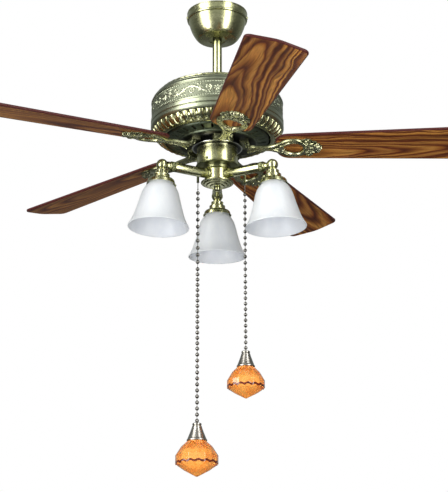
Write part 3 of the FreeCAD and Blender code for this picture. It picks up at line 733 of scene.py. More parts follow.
CORDS = {}
for side, c in CHAINS.items():
    parts = []
    R = c["bead"] / 2
    zs = bead_heights(side)
    for i, z in enumerate(zs):
        # two half shells with a fine seam, and a small eye at each end where the wire goes in
        pts = []
        for j in range(19):
            a = math.pi * j / 18
            rr = R * math.sin(a)
            zz = R * math.cos(a)
            if j == 9:
                rr -= 0.16
            pts.append((max(rr, 0.0), zz))
        pts[0] = (0.0, R)
        pts[-1] = (0.0, -R)
        v, f = revolve(pts, 22, closed=False)
        parts.append((v + np.array([c["x"], c["y"], ZB + z]), f))
        for s in (-1, 1):
            e = revolve([(0.55, -0.35), (1.25, -0.35), (1.45, 0.0), (1.25, 0.35), (0.55, 0.35)], 14)
            parts.append((e[0] + np.array([c["x"], c["y"], ZB + z + s * (R - 0.1)]), e[1]))
    ends = [c["top"] + 0.0] + [c["cap"]]
    wire = [(c["x"], c["y"], ZB + z) for z in np.linspace(c["top"], c["cap"] + 0.3, 90)]
    parts.append(pipe(wire, 0.62, 10))
    name = side + "_chain"
    me = build(name, merge(parts), 40.0)
    o = piece(name, me, GUN, side + "_chain", (side + "_bead_chain",))
    CORDS[side] = (o, [(c["x"] / 1000, c["y"] / 1000, (ZB + z) / 1000) for z in np.linspace(c["top"], c["cap"], 60)])

# fob caps: ridged cones of brushed nickel
FOBS = {}
for side, c in CHAINS.items():
    z0, z1, r1, r2 = c["cap"], c["cap"] - c["ch"], c["r1"], c["r2"]
    pr = [(0.0, z0), (r1 - 1.2, z0), (r1, z0 - 1.2), (r1, z0 - 3.4), (r1 - 0.9, z0 - 4.0), (r1 - 0.6, z0 - 4.8)]
    n = 6
    for i in range(n + 1):
        t = i / n
        pr.append((r1 + 0.2 + (r2 - 1.4 - r1) * (t ** 1.12), z0 - 5.6 - (c["ch"] - 9.6) * t))
    pr += [(r2 - 0.5, z1 + 3.4), (r2, z1 + 2.6), (r2, z1 + 0.8), (r2 - 0.8, z1), (0.0, z1)]
    vf = moved(revolve(fillet(pr, 0.5, 3, closed=False, least=20), 96, closed=False), trans(c["x"], c["y"], ZB))
    o = piece(side + "_cap", build(side + "_cap", vf, 34.0), NICKEL, side + "_chain", (side + "_fob_cap",))
    FOBS[side] = [o]

# crystals: a cut stone with an upper row of kites, a girdle band and a lower cone
for side, c in CHAINS.items():
    N = 16
    rg, r2 = c["rg"], c["r2"]
    z0 = c["cap"] - c["ch"] - 0.02
    zg1, zg2, tip = c["zg1"], c["zg2"], c["tip"]
    h = z0 - zg1

    def ring(r, z, off=0.0):
        return [(r * math.cos(TAU * (i + off) / N), r * math.sin(TAU * (i + off) / N), z) for i in range(N)]

    rows = [ring(r2 * 0.94, z0, 0.0), ring(r2 + (rg - r2) * 0.50, z0 - h * 0.40, 0.5), ring(rg, zg1, 0.0)]
    V = sum(rows, [])
    F = [[i for i in range(N)]]
    for i in range(N):
        j = (i + 1) % N
        F.append([i, N + i, j])
        F.append([N + i, 2 * N + j, N + (i + 1) % N, j])
        F.append([N + i, 2 * N + i, 2 * N + j])
    # the girdle, cut in upright facets, then the lower cone in two rows
    b = len(V)
    V += ring(rg, zg2, 0.0)
    zl = zg2 + (tip - zg2) * 0.46
    V += ring(rg * 0.60, zl, 0.5)
    V += [(0.0, 0.0, tip)]
    for i in range(N):
        j = (i + 1) % N
        F.append([2 * N + i, b + i, b + j, 2 * N + j])
        F.append([b + i, b + N + i, b + j])
        F.append([b + j, b + N + i, b + N + j])
        F.append([b + N + i, b + 2 * N, b + N + j])
    vf = moved((np.array(V), F), trans(c["x"], c["y"], ZB))
    me = build(side + "_stone", vf, None, weld=1e-7)
    bm = bmesh.new()
    bm.from_mesh(me)
    bmesh.ops.bevel(bm, geom=[e for e in bm.edges], offset=0.00035, offset_type="OFFSET", segments=1, affect="EDGES", clamp_overlap=True)
    bm.to_mesh(me)
    bm.free()
    for p in me.polygons:
        p.use_smooth = False
    o = piece(side + "_stone", me, AMBER, side + "_chain", (side + "_crystal",))
    FOBS[side].append(o)
    # a wavy dark line inlaid at the foot of the girdle
    pts = []
    n = 320
    for i in range(n):
        a = TAU * i / n
        k = (a / TAU * N) % 1.0
        rr = rg * math.cos(math.pi / N) / math.cos(TAU / N * (k - 0.5))
        zz = zg2 + 2.4 + 1.2 * math.sin(a * N)
        pts.append((rr, a, zz))
    V, F = [], []
    for rr, a, zz in pts:
        for dr, dz in ((-0.6, -2.2), (0.0, -2.2), (0.22, -1.2), (0.22, 1.2), (0.0, 2.2), (-0.6, 2.2)):
            r_ = min(rr + dr, rg - 0.02)
            V.append((r_ * math.cos(a), r_ * math.sin(a), zz + dz))
    for i in range(n):
        for j in range(6):
            F.append([i * 6 + j, i * 6 + (j + 1) % 6, ((i + 1) % n) * 6 + (j + 1) % 6, ((i + 1) % n) * 6 + j])
    o = piece(side + "_stone_line", build(side + "_stone_line", moved((np.array(V), F), trans(c["x"], c["y"], ZB)), 30.0), AMBER_LINE,
              side + "_chain")
    FOBS[side].append(o)

for side, c in CHAINS.items():
    o, line = CORDS[side]

# ---------------------------------------------------------------- canopy, rod and coupling cover
turned("canopy_shell", [(61.5, -1.0), (61.5, -2.6), (62.4, -3.6), (61.5, -4.6), (61.2, -7.4), (61.2, -13.0), (61.5, -15.4), (62.4, -16.4), (61.5, -17.4),
                        (61.5, -19.0), (58.9, -20.2),
                        [(57.8, -25.0), (55.7, -32.0), (52.8, -40.0), (49.0, -48.0), (44.6, -55.0), (41.0, -59.0)], (39.4, -60.2), (37.0, -61.0),
                        (20.6, -61.2), (18.4, -62.2), (17.0, -61.2), (17.0, -60.0), (37.0, -59.8),
                        [(43.0, -54.6), (47.6, -47.5), (51.4, -39.6), (54.4, -31.6), (56.4, -24.8), (57.3, -20.0)], (60.2, -18.4), (60.2, -1.0)],
       BRASS, "ceiling_mount", ("canopy",), n=224, r=0.7, k=5, z=0.0)


def cross_head(r, h, depth=0.9, n=40, m=14, slot=0.20, sink=1.2):
    """pan head with a cross recess, top up, foot at z = 0"""
    V = [(0.0, 0.0, 0.0)]
    rr = np.linspace(0, r, m + 1)[1:]
    rows = []
    for i in range(n):
        a = TAU * i / n
        for q in rr:
            x, y = q * math.cos(a), q * math.sin(a)
            z = h * math.sqrt(max(0.0, 1 - (q / r) ** 2.6))
            ax, ay = abs(x), abs(y)
            w = slot * r
            ln = 0.62 * r
            inx = max(0.0, min(1.0, (w - ay) / 0.12)) * max(0.0, min(1.0, (ln - ax) / 0.3))
            iny = max(0.0, min(1.0, (w - ax) / 0.12)) * max(0.0, min(1.0, (ln - ay) / 0.3))
            z -= depth * max(inx, iny)
            V.append((x, y, z))
    F = []
    for i in range(n):
        j = (i + 1) % n
        F.append([0, 1 + i * m, 1 + j * m])
        for q in range(m - 1):
            F.append([1 + i * m + q, 1 + i * m + q + 1, 1 + j * m + q + 1, 1 + j * m + q])
    V[0] = (0.0, 0.0, h - depth)
    b = len(V)
    V.append((0.0, 0.0, -sink))
    for i in range(n):
        a = TAU * i / n
        V.append((r * math.cos(a), r * math.sin(a), -sink))
    for i in range(n):
        j = (i + 1) % n
        F.append([1 + i * m + m - 1, b + 1 + i, b + 1 + j, 1 + j * m + m - 1])
        F.append([b, b + 1 + j, b + 1 + i])
    return np.array(V), F


heads = []
for s in (-1, 1):
    M = trans(s * 61.3, 0, -11) @ rot("Y", 90 * s)
    heads.append(moved(cross_head(3.7, 2.2, 0.8, sink=0.6), M))
    heads.append(moved(pipe([(0, 0, -11.5), (0, 0, -6), (0, 0, 0.2)], 1.9, 18), M))
piece("canopy_screw_pair", build("canopy_screw_pair", merge(heads), 32.0), BRASS, "ceiling_mount", ("canopy_screws",))

turned("downrod_tube", [(9.525, -185.0), (9.525, -11.6), (9.1, -11.0), (8.3, -11.0), (7.925, -11.5), (7.925, -185.0)], BRASS, "hung_frame",
       ("downrod",), n=96, r=0.3, z=0.0)
turned("coupling_bell", [(34.0, 113.0), (34.0, 115.2), (33.2, 116.2), (32.0, 116.6), (32.4, 117.6), (31.4, 118.4),
                         [(30.4, 119.8), (27.4, 124.6), (23.8, 132.2), (20.4, 139.6), (18.4, 143.4)], (17.8, 144.2), (18.4, 145.2), (17.2, 146.6),
                         (13.0, 147.4), (11.6, 149.4), (10.0, 149.4), (10.0, 146.2), (12.6, 146.2), (16.2, 144.0),
                         [(19.2, 139.2), (22.6, 131.5), (26.2, 123.8), (29.4, 117.8), (31.4, 115.4)], (32.8, 114.4), (32.8, 113.0)],
       BRASS, "hung_frame", ("coupling_cover",), n=128, r=0.5)

# ---------------------------------------------------------------- motor housing with its frieze
FR0, FR1 = 62.0, 93.0      # the frieze's lower and upper edge
REP = 12
CIRC = TAU * 132.7
CELL = CIRC / REP


def frieze_cell():
    """one repeat of the scroll band, CELL wide and 31 high"""
    nx, ny = 118, 52
    xs = (np.arange(nx) + 0.0) / nx * CELL
    ys = np.linspace(0, FR1 - FR0, ny)
    X, Y = np.meshgrid(xs, ys, indexing="ij")
    P = np.stack([X.ravel(), Y.ravel()], 1)
    c = (FR1 - FR0) / 2
    S = []
    vine = [(x, c + 6.4 * math.sin(TAU * x / CELL)) for x in np.linspace(-8, CELL + 8, 60)]
    S.append((vine, 1.25, 1.25, 1.0, 1.0))
    for sgn, cx in ((1, CELL * 0.25), (-1, CELL * 0.75)):
        S.append((volute(cx, c - sgn * 2.6, 7.2, 0.8, 90 * sgn, -1.6 * sgn), 1.35, 0.8, 1.0, 0.85))
        for k, a in enumerate((150, 112, 74, 36)):
            a0 = math.radians(a)
            x0, y0 = cx + 6.5 * math.cos(a0), c + sgn * (4.2 + 1.5 * math.sin(a0))
            ln = (5.4, 6.4, 6.4, 5.4)[k]
            S.append(([(x0, y0), (x0 + ln * 0.55 * math.cos(a0), y0 + sgn * ln * 0.62 * math.sin(a0)),
                       (x0 + ln * math.cos(a0 * 0.9 + 0.1), y0 + sgn * ln * 0.86 * math.sin(a0))], 1.5, 0.35, 0.95, 0.5))
        fx = cx + CELL * 0.25
        for k in range(6):
            a0 = TAU * k / 6 + 0.3
            S.append(([(fx + 1.6 * math.cos(a0), c + 1.6 * math.sin(a0)), (fx + 4.6 * math.cos(a0), c + 4.6 * math.sin(a0))], 1.0, 1.55, 0.8, 0.95))
        S.append(([(fx, c), (fx + 0.01, c)], 1.5, 1.5, 1.0, 1.0))
        for q in (-1, 1):
            S.append(([(fx + q * 2.0, c + sgn * 8.5), (fx + q * 5.0, c + sgn * 10.6), (fx + q * 9.0, c + sgn * 9.6)], 1.2, 0.4, 0.9, 0.5))
    for k in range(14):
        x0 = (k + 0.5) / 14 * CELL
        for yy in (2.0, FR1 - FR0 - 2.0):
            S.append(([(x0, yy), (x0 + 0.01, yy)], 1.15, 1.15, 0.75, 0.75))
    H = ridges(P, S)
    for dx in (-CELL, CELL):
        H = np.maximum(H, ridges(P, [([(x + dx, y) for x, y in pts], a, b, h0, h1) for pts, a, b, h0, h1 in S]))
    return H.reshape(nx, ny)


def motor_housing():
    cell = frieze_cell()
    nx, ny = cell.shape
    n = nx * REP
    H = np.tile(cell, (REP, 1)).T          # (ny, n)
    th = np.arange(n) * TAU / n
    zs = np.linspace(FR0, FR1, ny)
    edge = np.minimum(np.minimum(zs - FR0, FR1 - zs) / 1.2, 1.0)[:, None]
    R = 132.05 + (H * 1.05) * edge + 0.0 * th[None, :]
    low = fillet(profile([(130.6, 36.4), (132.6, 38.4), (134.0, 40.6), (134.0, 46.2), (133.2, 47.2), (132.4, 48.0), (133.2, 48.8), (134.0, 49.8),
                          (134.0, 56.8), (133.4, 57.8), (132.5, 58.6), (133.3, 59.6), (133.3, 61.0), (132.2, FR0 - 0.4)]), 0.35, 2, closed=False)
    high = fillet(profile([(132.2, FR1 + 0.4), (133.2, 93.8), (133.7, 94.8), (133.2, 95.8), (132.2, 96.4), [(131.6, 99.6), (130.0, 102.6), (128.6, 104.4)],
                           (127.2, 104.2), (127.5, 105.6), [(125.8, 108.0), (123.2, 110.2), (120.4, 111.8)], (117.4, 112.2), (116.8, 113.2),
                           (112.0, 113.6), (104.0, 113.0)]), 0.35, 2, closed=False)
    inner = fillet(profile([(104.0, 111.5), (116.5, 111.5), [(122.0, 107.6), (127.0, 103.0), (129.8, 98.6), (131.0, 94.6)], (130.6, 80.0), (130.6, 60.0),
                            (131.0, 42.0), (128.6, 38.6), (128.6, 36.4)]), 0.35, 2, closed=False)
    rows_r, rows_z, rel = [], [], []
    for r, z in low:
        rows_r.append(np.full(n, r)); rows_z.append(np.full(n, z)); rel.append(np.full(n, 0.42))
    for i in range(ny):
        rows_r.append(R[i]); rows_z.append(np.full(n, zs[i])); rel.append(0.06 + 0.94 * H[i])
    for r, z in high + inner:
        rows_r.append(np.full(n, r)); rows_z.append(np.full(n, z)); rel.append(np.full(n, 0.42))
    RR, ZZ, RL = np.array(rows_r), np.array(rows_z), np.array(rel)
    m = len(RR)
    V = np.stack([RR * np.cos(th), RR * np.sin(th), ZZ], 2).reshape(-1, 3)
    I, J = np.meshgrid(np.arange(m), np.arange(n), indexing="ij")
    I2, J2 = (I + 1) % m, (J + 1) % n
    F = np.stack([I * n + J, I * n + J2, I2 * n + J2, I2 * n + J], 2).reshape(-1, 4)
    return V, F, RL.reshape(-1)


V, F, RL = motor_housing()
me = build("motor_housing_shell", (V + np.array([0, 0, ZB]), F), 42.0, weld=None, attrs={"relief": RL})
piece("motor_housing_shell", me, BRASS_SIDE, "hung_frame", ("motor_housing",))


def slotted_disc(r0, r1, z0, z1, count, s0, s1, sw, step=4.0, dz=None):
    """flat ring with rounded radial slots, built from one sector"""
    A = TAU / count
    na = max(4, int(r1 * A / step))
    aa = np.linspace(-A / 2, A / 2, na + 1)
    rr0 = [(r0 * math.cos(a), r0 * math.sin(a)) for a in aa]
    rr1 = [(r1 * math.cos(a), r1 * math.sin(a)) for a in aa]
    side = np.linspace(r0, r1, max(3, int((r1 - r0) / step)))[1:-1]
    out = rr0[::-1] + [(r * math.cos(-A / 2), r * math.sin(-A / 2)) for r in side] + rr1 + [(r * math.cos(A / 2), r * math.sin(A / 2)) for r in side[::-1]]
    out = np.array(out)
    hole = [(s1 + sw * math.cos(t), sw * math.sin(t)) for t in np.linspace(-math.pi / 2, math.pi / 2, 9)]
    hole += [(s0 - sw * math.cos(t), sw * math.sin(t)) for t in np.linspace(math.pi / 2, -math.pi / 2, 9)]
    hole = np.array(hole)
    P, T = flat_mesh(out, [hole], step)
    Vs, Fs, k = [], [], 0
    for i in range(count):
        c, s = math.cos(A * i), math.sin(A * i)
        Q = np.stack([P[:, 0] * c - P[:, 1] * s, P[:, 0] * s + P[:, 1] * c], 1)
        Vs.append(Q)
        Fs += [[int(a) + k for a in t] for t in T]
        k += len(Q)
    Q = np.vstack(Vs)
    # weld the sectors, then give the sheet its thickness
    key = {}
    idx = np.zeros(len(Q), int)
    new = []
    for i, q in enumerate(np.round(Q, 3)):
        kk = tuple(q)
        if kk not in key:
            key[kk] = len(new)
            new.append(Q[i])
        idx[i] = key[kk]
    new = np.array(new)
    T2 = np.array([[idx[a] for a in f] for f in Fs])
    top = np.column_stack([new, np.full(len(new), z1)])
    low = np.column_stack([new, np.full(len(new), z0)])
    if dz is not None:
        d = dz(new)
        top[:, 2] += d
        low[:, 2] += d
    return slab(new, T2, top, low)


piece("housing_top_plate", build("housing_top_plate", moved(slotted_disc(16.2, 104.3, 111.5, 113.0, 20, 62.0, 92.0, 3.2, 5.0), trans(0, 0, ZB)), 35.0),
      BRASS, "hung_frame")


def rope(T, R, Z):
    """twisted rope moulding on a small ring section"""
    cr, cz = 116.6, 113.2
    dr, dz = R - cr, Z - cz
    phi = np.arctan2(dz, dr)
    f = 1.0 + 0.20 * np.abs(np.cos(24 * T + phi)) - 0.10
    return cr + dr * f, cz + dz * f


sec = [(116.6 + 2.9 * math.cos(TAU * i / 20), 113.2 + 2.5 * math.sin(TAU * i / 20)) for i in range(20)]
piece("housing_rope_ring", build("housing_rope_ring", moved(revolve(sec, 960, rope), trans(0, 0, ZB)), 50.0), BRASS, "hung_frame")


# ---------------------------------------------------------------- gadroon ring: 48 rounded ribs
def gadroon_vf():
    outer = profile([(130.2, 36.2), [(129.6, 33.0), (127.4, 28.8), (123.6, 24.4), (118.6, 20.6), (115.6, 19.2)]], 8)
    lip = [(113.8, 18.0), (112.6, 17.2), (110.0, 17.0), (108.4, 17.2), (107.6, 18.2), (108.0, 19.0)]
    inner = profile([(113.0, 20.4), [(117.4, 22.6), (122.0, 26.0), (125.0, 30.2), (126.4, 36.2)]], 5)
    P = np.array(outer + lip + inner)
    m = len(P)
    no = len(outer)
    n = 48 * 22
    th = np.arange(n) * TAU / n
    s = np.zeros(m)
    L = np.concatenate([[0], np.cumsum(np.linalg.norm(np.diff(P[:no], axis=0), axis=1))])
    s[:no] = L / L[-1]
    amp = np.zeros(m)
    u = s[:no]
    amp[:no] = np.clip(u / 0.12, 0, 1) ** 0.5 * np.clip((1 - u) / 0.12, 0, 1) ** 0.5
    d = np.gradient(P, axis=0)
    N = np.stack([-d[:, 1], d[:, 0]], 1)
    N /= np.linalg.norm(N, axis=1)[:, None]
    if N[no // 2] @ np.array([1.0, -1.0]) < 0:
        N = -N
    w = np.abs(np.cos(24 * th))            # 1 on a rib's crest, 0 in a groove
    rib = np.clip((w - 0.16) / 0.56, 0, 1)
    rib = rib * rib * (3 - 2 * rib)
    crest = np.clip((w - 0.5) / 0.5, 0, 1) ** 1.5
    off = -3.4 + 3.7 * rib + 0.75 * crest                  # mm outwards
    R = P[:, :1] + N[:, :1] * amp[:, None] * off[None, :]
    Z = P[:, 1:2] + N[:, 1:2] * amp[:, None] * off[None, :]
    rel = 0.45 + 0.0 * R
    rel[:no] = 0.02 + 0.60 * rib[None, :] * amp[:no][:, None] + 0.42 * (1 - amp[:no][:, None])
    V = np.stack([R * np.cos(th), R * np.sin(th), Z], 2).reshape(-1, 3)
    I, J = np.meshgrid(np.arange(m), np.arange(n), indexing="ij")
    I2, J2 = (I + 1) % m, (J + 1) % n
    F = np.stack([I * n + J, I * n + J2, I2 * n + J2, I2 * n + J], 2).reshape(-1, 4)
    return V, F, rel.reshape(-1)


V, F, RL = gadroon_vf()
me = build("gadroon_ribs", (V + np.array([0, 0, ZB]), F), 48.0, weld=None, attrs={"relief": RL})
piece("gadroon_ribs", me, BRASS_RELIEF, "hung_frame", ("gadroon_ring",))

# ---------------------------------------------------------------- rotor's underside
def under_dz(P):
    r = np.linalg.norm(P, axis=1)
    return np.interp(r, [82.6, 100.6], [0.0, 2.6])


disc = slotted_disc(82.0, 101.0, 12.6, 15.2, 30, 84.5, 97.0, 2.4, 2.6, under_dz)
dish = revolve(fillet(profile([(82.4, 12.5), (80.4, 12.3), (79.4, 11.6), (78.6, 8.8), (77.4, 8.0), (60.0, 8.0), (20.0, 8.0), (20.0, 22.0), (24.0, 22.0), (24.0, 10.6),
                               (76.0, 10.6), (77.6, 14.6), (82.4, 15.2)]), 0.6, 3), 200)
rim = revolve(fillet(profile([(100.7, 15.2), (102.8, 15.6), (104.5, 18.4), (104.5, 24.8), (102.0, 24.8), (102.0, 20.0), (100.7, 17.8)]), 0.6, 3), 200)
piece("rotor_pan", build("rotor_pan", moved(merge([disc, dish, rim]), trans(0, 0, ZB)), 38.0), SHELL, "rotor", ("rotor_lower",))


# ---------------------------------------------------------------- blades
def blade_matrix(k):
    return trans(0, 0, ZB) @ rot("Z", AZ0 + 72.0 * k) @ trans(PIVOT, 0, 0) @ rot("Y", DROOP) @ trans(-PIVOT, 0, 0) @ rot("X", -PITCH)


def half_w(r):
    return 57.8 - (57.8 - 42.0) * (529.5 - r) / (529.5 - 127.0)


def rounded_plan(points, radii, seg=12):
    P = [np.array(p, float) for p in points]
    out = []
    n = len(P)
    for i in range(n):
        a = P[i - 1] - P[i]
        b = P[(i + 1) % n] - P[i]
        la, lb = np.linalg.norm(a), np.linalg.norm(b)
        a, b = a / la, b / lb
        turn = math.pi - math.acos(max(-1, min(1, float(a @ b))))
        r = radii[i]
        d = r * math.tan(turn / 2)
        if r <= 0:
            out.append(P[i])
            continue
        bis = (a + b) / np.linalg.norm(a + b)
        c = P[i] + bis * math.hypot(r, d)
        u0, u1 = P[i] + a * d - c, P[i] + b * d - c
        for s in range(seg + 1):
            t = s / seg
            out.append(c + (math.sin((1 - t) * turn) * u0 + math.sin(t * turn) * u1) / math.sin(turn))
    return np.array(out)


def resample(loop, step):
    A = np.vstack([loop, loop[:1]])
    L = np.concatenate([[0], np.cumsum(np.linalg.norm(np.diff(A, axis=0), axis=1))])
    n = max(8, int(round(L[-1] / step)))
    t = np.arange(n) / n * L[-1]
    return np.stack([np.interp(t, L, A[:, 0]), np.interp(t, L, A[:, 1])], 1)


def blade_vf():
    w0 = half_w(119.0)
    plan = rounded_plan([(119.0, -w0), (529.5, -57.8), (541.0, 0.0), (529.5, 57.8), (119.0, w0)], [26.0, 13.0, 60.0, 13.0, 26.0])
    plan = resample(plan, 3.0)
    n = len(plan)
    t = np.roll(plan, -1, 0) - np.roll(plan, 1, 0)
    t /= np.linalg.norm(t, axis=1)[:, None]
    N = np.stack([t[:, 1], -t[:, 0]], 1)
    if (N[0] @ (plan[0] - np.array([330.0, 0]))) < 0:
        N = -N
    hT = BLADE_T / 2
    r = 2.2
    rows = []           # (inset, z)
    rows.append((r + 1.2, -hT))
    for q in range(6):
        a = math.pi / 2 * q / 5
        rows.append((r * (1 - math.sin(a)), -hT + r * (1 - math.cos(a))))
    for q in range(6):
        a = math.pi / 2 * (1 - q / 5)
        rows.append((r * (1 - math.sin(a)), hT - r * (1 - math.cos(a))))
    rows.append((r + 1.2, hT))
    V, E = [], []
    for ins, z in rows:
        for p, nn in zip(plan, N):
            q = p - nn * ins
            V.append((q[0], q[1], z))
            E.append(1.0 if ins < r * 0.92 else (0.55 if ins < r + 0.1 else 0.0))
    F = []
    for i in range(len(rows) - 1):
        for j in range(n):
            F.append([i * n + j, i * n + (j + 1) % n, (i + 1) * n + (j + 1) % n, (i + 1) * n + j])
    F.append(list(range(n))[::-1])
    F.append([(len(rows) - 1) * n + j for j in range(n)])
    return (np.array(V), F), E


BV, BE = blade_vf()
for k in range(5):
    me = build("blade_%d_board" % (k + 1), BV, 40.0, weld=None, attrs={"edge": BE})
    piece("blade_%d_board" % (k + 1), me, wood(k), "rotor", ("blade_%d" % (k + 1),), blade_matrix(k))

# ---------------------------------------------------------------- blade irons
IRON_HALF = [(58.5, 20.6), (62.0, 21.2), (66.0, 19.6), (70.0, 15.6), (75.0, 12.4), (82.0, 10.8), (92.0, 10.0), (102.0, 9.8), (110.0, 10.8), (117.0, 13.2),
             (124.0, 17.6), (131.0, 23.0), (139.0, 28.0), (148.0, 30.8), (157.0, 31.6), (164.0, 30.2), (170.0, 27.4), (175.0, 28.6), (181.0, 30.6),
             (187.0, 29.6), (191.5, 25.6), (193.4, 21.6), (197.6, 22.0), (201.0, 19.0), (201.6, 14.6), (205.6, 13.6), (208.2, 9.6), (207.4, 6.0),
             (210.6, 3.6), (211.6, 0.0)]
EYE_HALF = [(131.0, 0.0), (134.0, 5.4), (140.0, 11.6), (148.0, 16.8), (156.0, 18.6), (163.0, 17.0), (168.5, 12.2), (171.4, 6.4), (172.0, 0.0)]


def mirror_loop(half, k=5):
    c = smooth_curve(half, k)
    return np.vstack([c, np.column_stack([c[::-1, 0], -c[::-1, 1]])[1:]])


def iron_vf():
    out = mirror_loop(IRON_HALF, 4)
    out = resample(out, 1.25)
    eye = resample(mirror_loop(EYE_HALF, 4)[:-1], 1.25)
    holes = [eye]
    for t in (-13.0, 13.0):
        holes.append(np.array([(58.6 + 4.6 * math.cos(a) + 6.5, t + 4.6 * math.sin(a)) for a in np.linspace(0, TAU, 25)[:-1]]))
    holes = [eye]
    P, T = flat_mesh(out, holes, 0.95)
    S = []
    upper = smooth_curve([(112.0, 4.6), (120.0, 9.4), (128.0, 14.0), (137.0, 20.4), (147.0, 24.4), (157.0, 25.6), (165.0, 23.2), (172.0, 17.6), (178.0, 10.0), (182.0, 3.0)], 5)
    rim = smooth_curve([(127.5, 0.0), (131.0, 6.6), (138.0, 13.6), (147.0, 19.6), (156.0, 21.6), (164.6, 19.6), (171.4, 13.6), (174.8, 6.6), (175.4, 0.0)], 5)
    lipo = smooth_curve([(118.0, 11.4), (126.0, 17.0), (133.0, 22.2), (141.0, 26.6), (149.0, 28.9), (157.0, 29.4), (164.0, 27.6), (169.0, 24.6)], 5)
    for s in (1, -1):
        f = np.array([1.0, s])
        S.append((rim * f, 2.4, 2.4, 3.4, 3.4))
        S.append((upper * f, 3.1, 1.6, 3.0, 2.2))
        S.append((lipo * f, 1.9, 1.5, 2.4, 2.2))
        # scroll leaf at each outer corner: a volute, with three leaf fingers behind it
        S.append((volute(181.0, 21.0 * s, 7.2, 1.2, -150.0 * s, 1.35 * s), 2.0, 1.2, 3.4, 2.6))
        for a, ln in ((60, 9.0), (20, 8.0), (-18, 8.4)):
            a0 = math.radians(a) * s
            S.append(([(181.0 + 6.2 * math.cos(a0), 21.0 * s + 6.2 * math.sin(a0)), (181.0 + ln * math.cos(a0 * 1.02), 21.0 * s + ln * math.sin(a0 * 1.02))], 2.4, 1.4, 2.8, 1.8))
        # ribs of the leaf that runs from the eye's end to the crown
        S.append((smooth_curve([(173.0, 12.0 * s), (181.0, 9.4 * s), (189.0, 8.4 * s), (196.0, 9.0 * s)], 4), 1.9, 1.6, 3.0, 2.6))
        S.append((smooth_curve([(170.0, 22.0 * s), (177.0, 15.4 * s), (186.0, 13.6 * s), (194.0, 16.0 * s)], 4), 1.8, 1.6, 2.8, 2.4))
        # flutes of the neck
        S.append((smooth_curve([(61.0, 16.0 * s), (68.0, 12.0 * s), (80.0, 7.9 * s), (96.0, 6.9 * s), (108.0, 7.6 * s), (116.0, 11.0 * s)], 5), 2.1, 1.9, 2.5, 2.6))
        S.append((smooth_curve([(64.0, 4.6 * s), (72.0, 3.2 * s), (84.0, 2.2 * s), (100.0, 2.0 * s), (112.0, 3.0 * s)], 5), 2.0, 1.8, 2.0, 2.2))
        # palmette over the eye's inner end
        for a, ln, w in ((14, 12.6, 1.5), (34, 13.0, 1.7), (58, 12.0, 1.8)):
            a0 = math.radians(a) * s
            S.append(([(122.0 + 3.0 * math.cos(a0), 3.0 * math.sin(a0)), (122.0 + ln * math.cos(a0), ln * 0.95 * math.sin(a0))], w * 0.8, w, 3.0, 4.4))
        # crown of fingers
        for a, ln in ((22, 19.0), (46, 18.6)):
            a0 = math.radians(a) * s
            S.append(([(190.0 + 5.0 * math.cos(a0), 5.0 * math.sin(a0)), (190.0 + ln * math.cos(a0), ln * math.sin(a0))], 2.0, 2.7, 2.8, 4.2))
    S.append(([(191.0, 0.0), (208.4, 0.0)], 2.2, 2.8, 3.0, 4.4))
    S.append(([(118.0, 0.0), (134.4, 0.0)], 1.2, 1.7, 2.8, 4.6))
    S.append(([(176.0, 0.0), (187.0, 0.0)], 2.4, 3.0, 3.0, 3.4))
    # the palmette's fingers reach past the eye's end: they are added as small solids below
    H = ridges(P, S)
    d = edge_distance(out, P)
    de = edge_distance(eye, P)
    dd = np.minimum(d, de)
    base = 1.9 * np.sqrt(np.clip(1 - (1 - np.clip(dd / 1.6, 0, 1)) ** 2, 0, 1)) + 0.5
    # a screw's dimple each side at the root
    scr = np.zeros(len(P))
    W = base + H * np.clip(dd / 1.0, 0.25, 1.0)
    for t in (-13.0, 13.0):
        q = np.hypot(P[:, 0] - 61.5, P[:, 1] - t)
        W = np.where(q < 4.2, np.minimum(W, 1.2), W)
    for s in (-1, 1):
        q = np.hypot(P[:, 0] - 181.0, P[:, 1] - 21.0 * s)
        W = np.where(q < 2.3, np.minimum(W, 0.9), W)
    rel = 0.16 + np.clip(H / 3.4, 0, 1) * 0.78
    rel = np.where(W < 1.3, 0.03, rel)

    def place(r, t, w):
        """w mm below the top face"""
        s = np.clip((r - 96.0) / (124.0 - 96.0), 0, 1)
        s = s * s * (3 - 2 * s)
        flat = np.stack([r, t, -1.6 - w], 1)
        loc = np.stack([r, t, -BLADE_T / 2 - 0.05 - w], 1)
        A = np.array(trans(PIVOT, 0, 0) @ rot("Y", DROOP) @ trans(-PIVOT, 0, 0) @ rot("X", -PITCH))
        tilt = loc @ A[:3, :3].T + A[:3, 3]
        return flat * (1 - s)[:, None] + tilt * s[:, None]

    top = place(P[:, 0], P[:, 1], np.zeros(len(P)))
    low = place(P[:, 0], P[:, 1], W)
    V, F = slab(P, T, top, low)
    rel = np.concatenate([np.full(len(P), 0.3), rel])
    parts = [(V, F)]
    rels = [rel]
    # palmette tips that hang over the opening
    for a, ln in ((0, 15.6), (24, 15.4), (-24, 15.4), (50, 14.2), (-50, 14.2)):
        a0 = math.radians(a)
        n = 9
        pts = np.array([(121.0 + (4.0 + (ln - 4.0) * i / (n - 1)) * math.cos(a0), (4.0 + (ln - 4.0) * i / (n - 1)) * math.sin(a0) * 0.95) for i in range(n)])
        lift = np.array([3.4 + 1.4 * math.sin(math.pi * 0.5 * i / (n - 1)) for i in range(n)])
        line = place(pts[:, 0], pts[:, 1], lift)
        rad = np.array([1.0 + 0.75 * math.sin(math.pi * (0.25 + 0.75 * i / (n - 1)) ** 1.2) for i in range(n)])
        rad[-1] = 0.5
        v, f = pipe(line, rad, 12)
        parts.append((v, f))
        rels.append(np.full(len(v), 0.95))
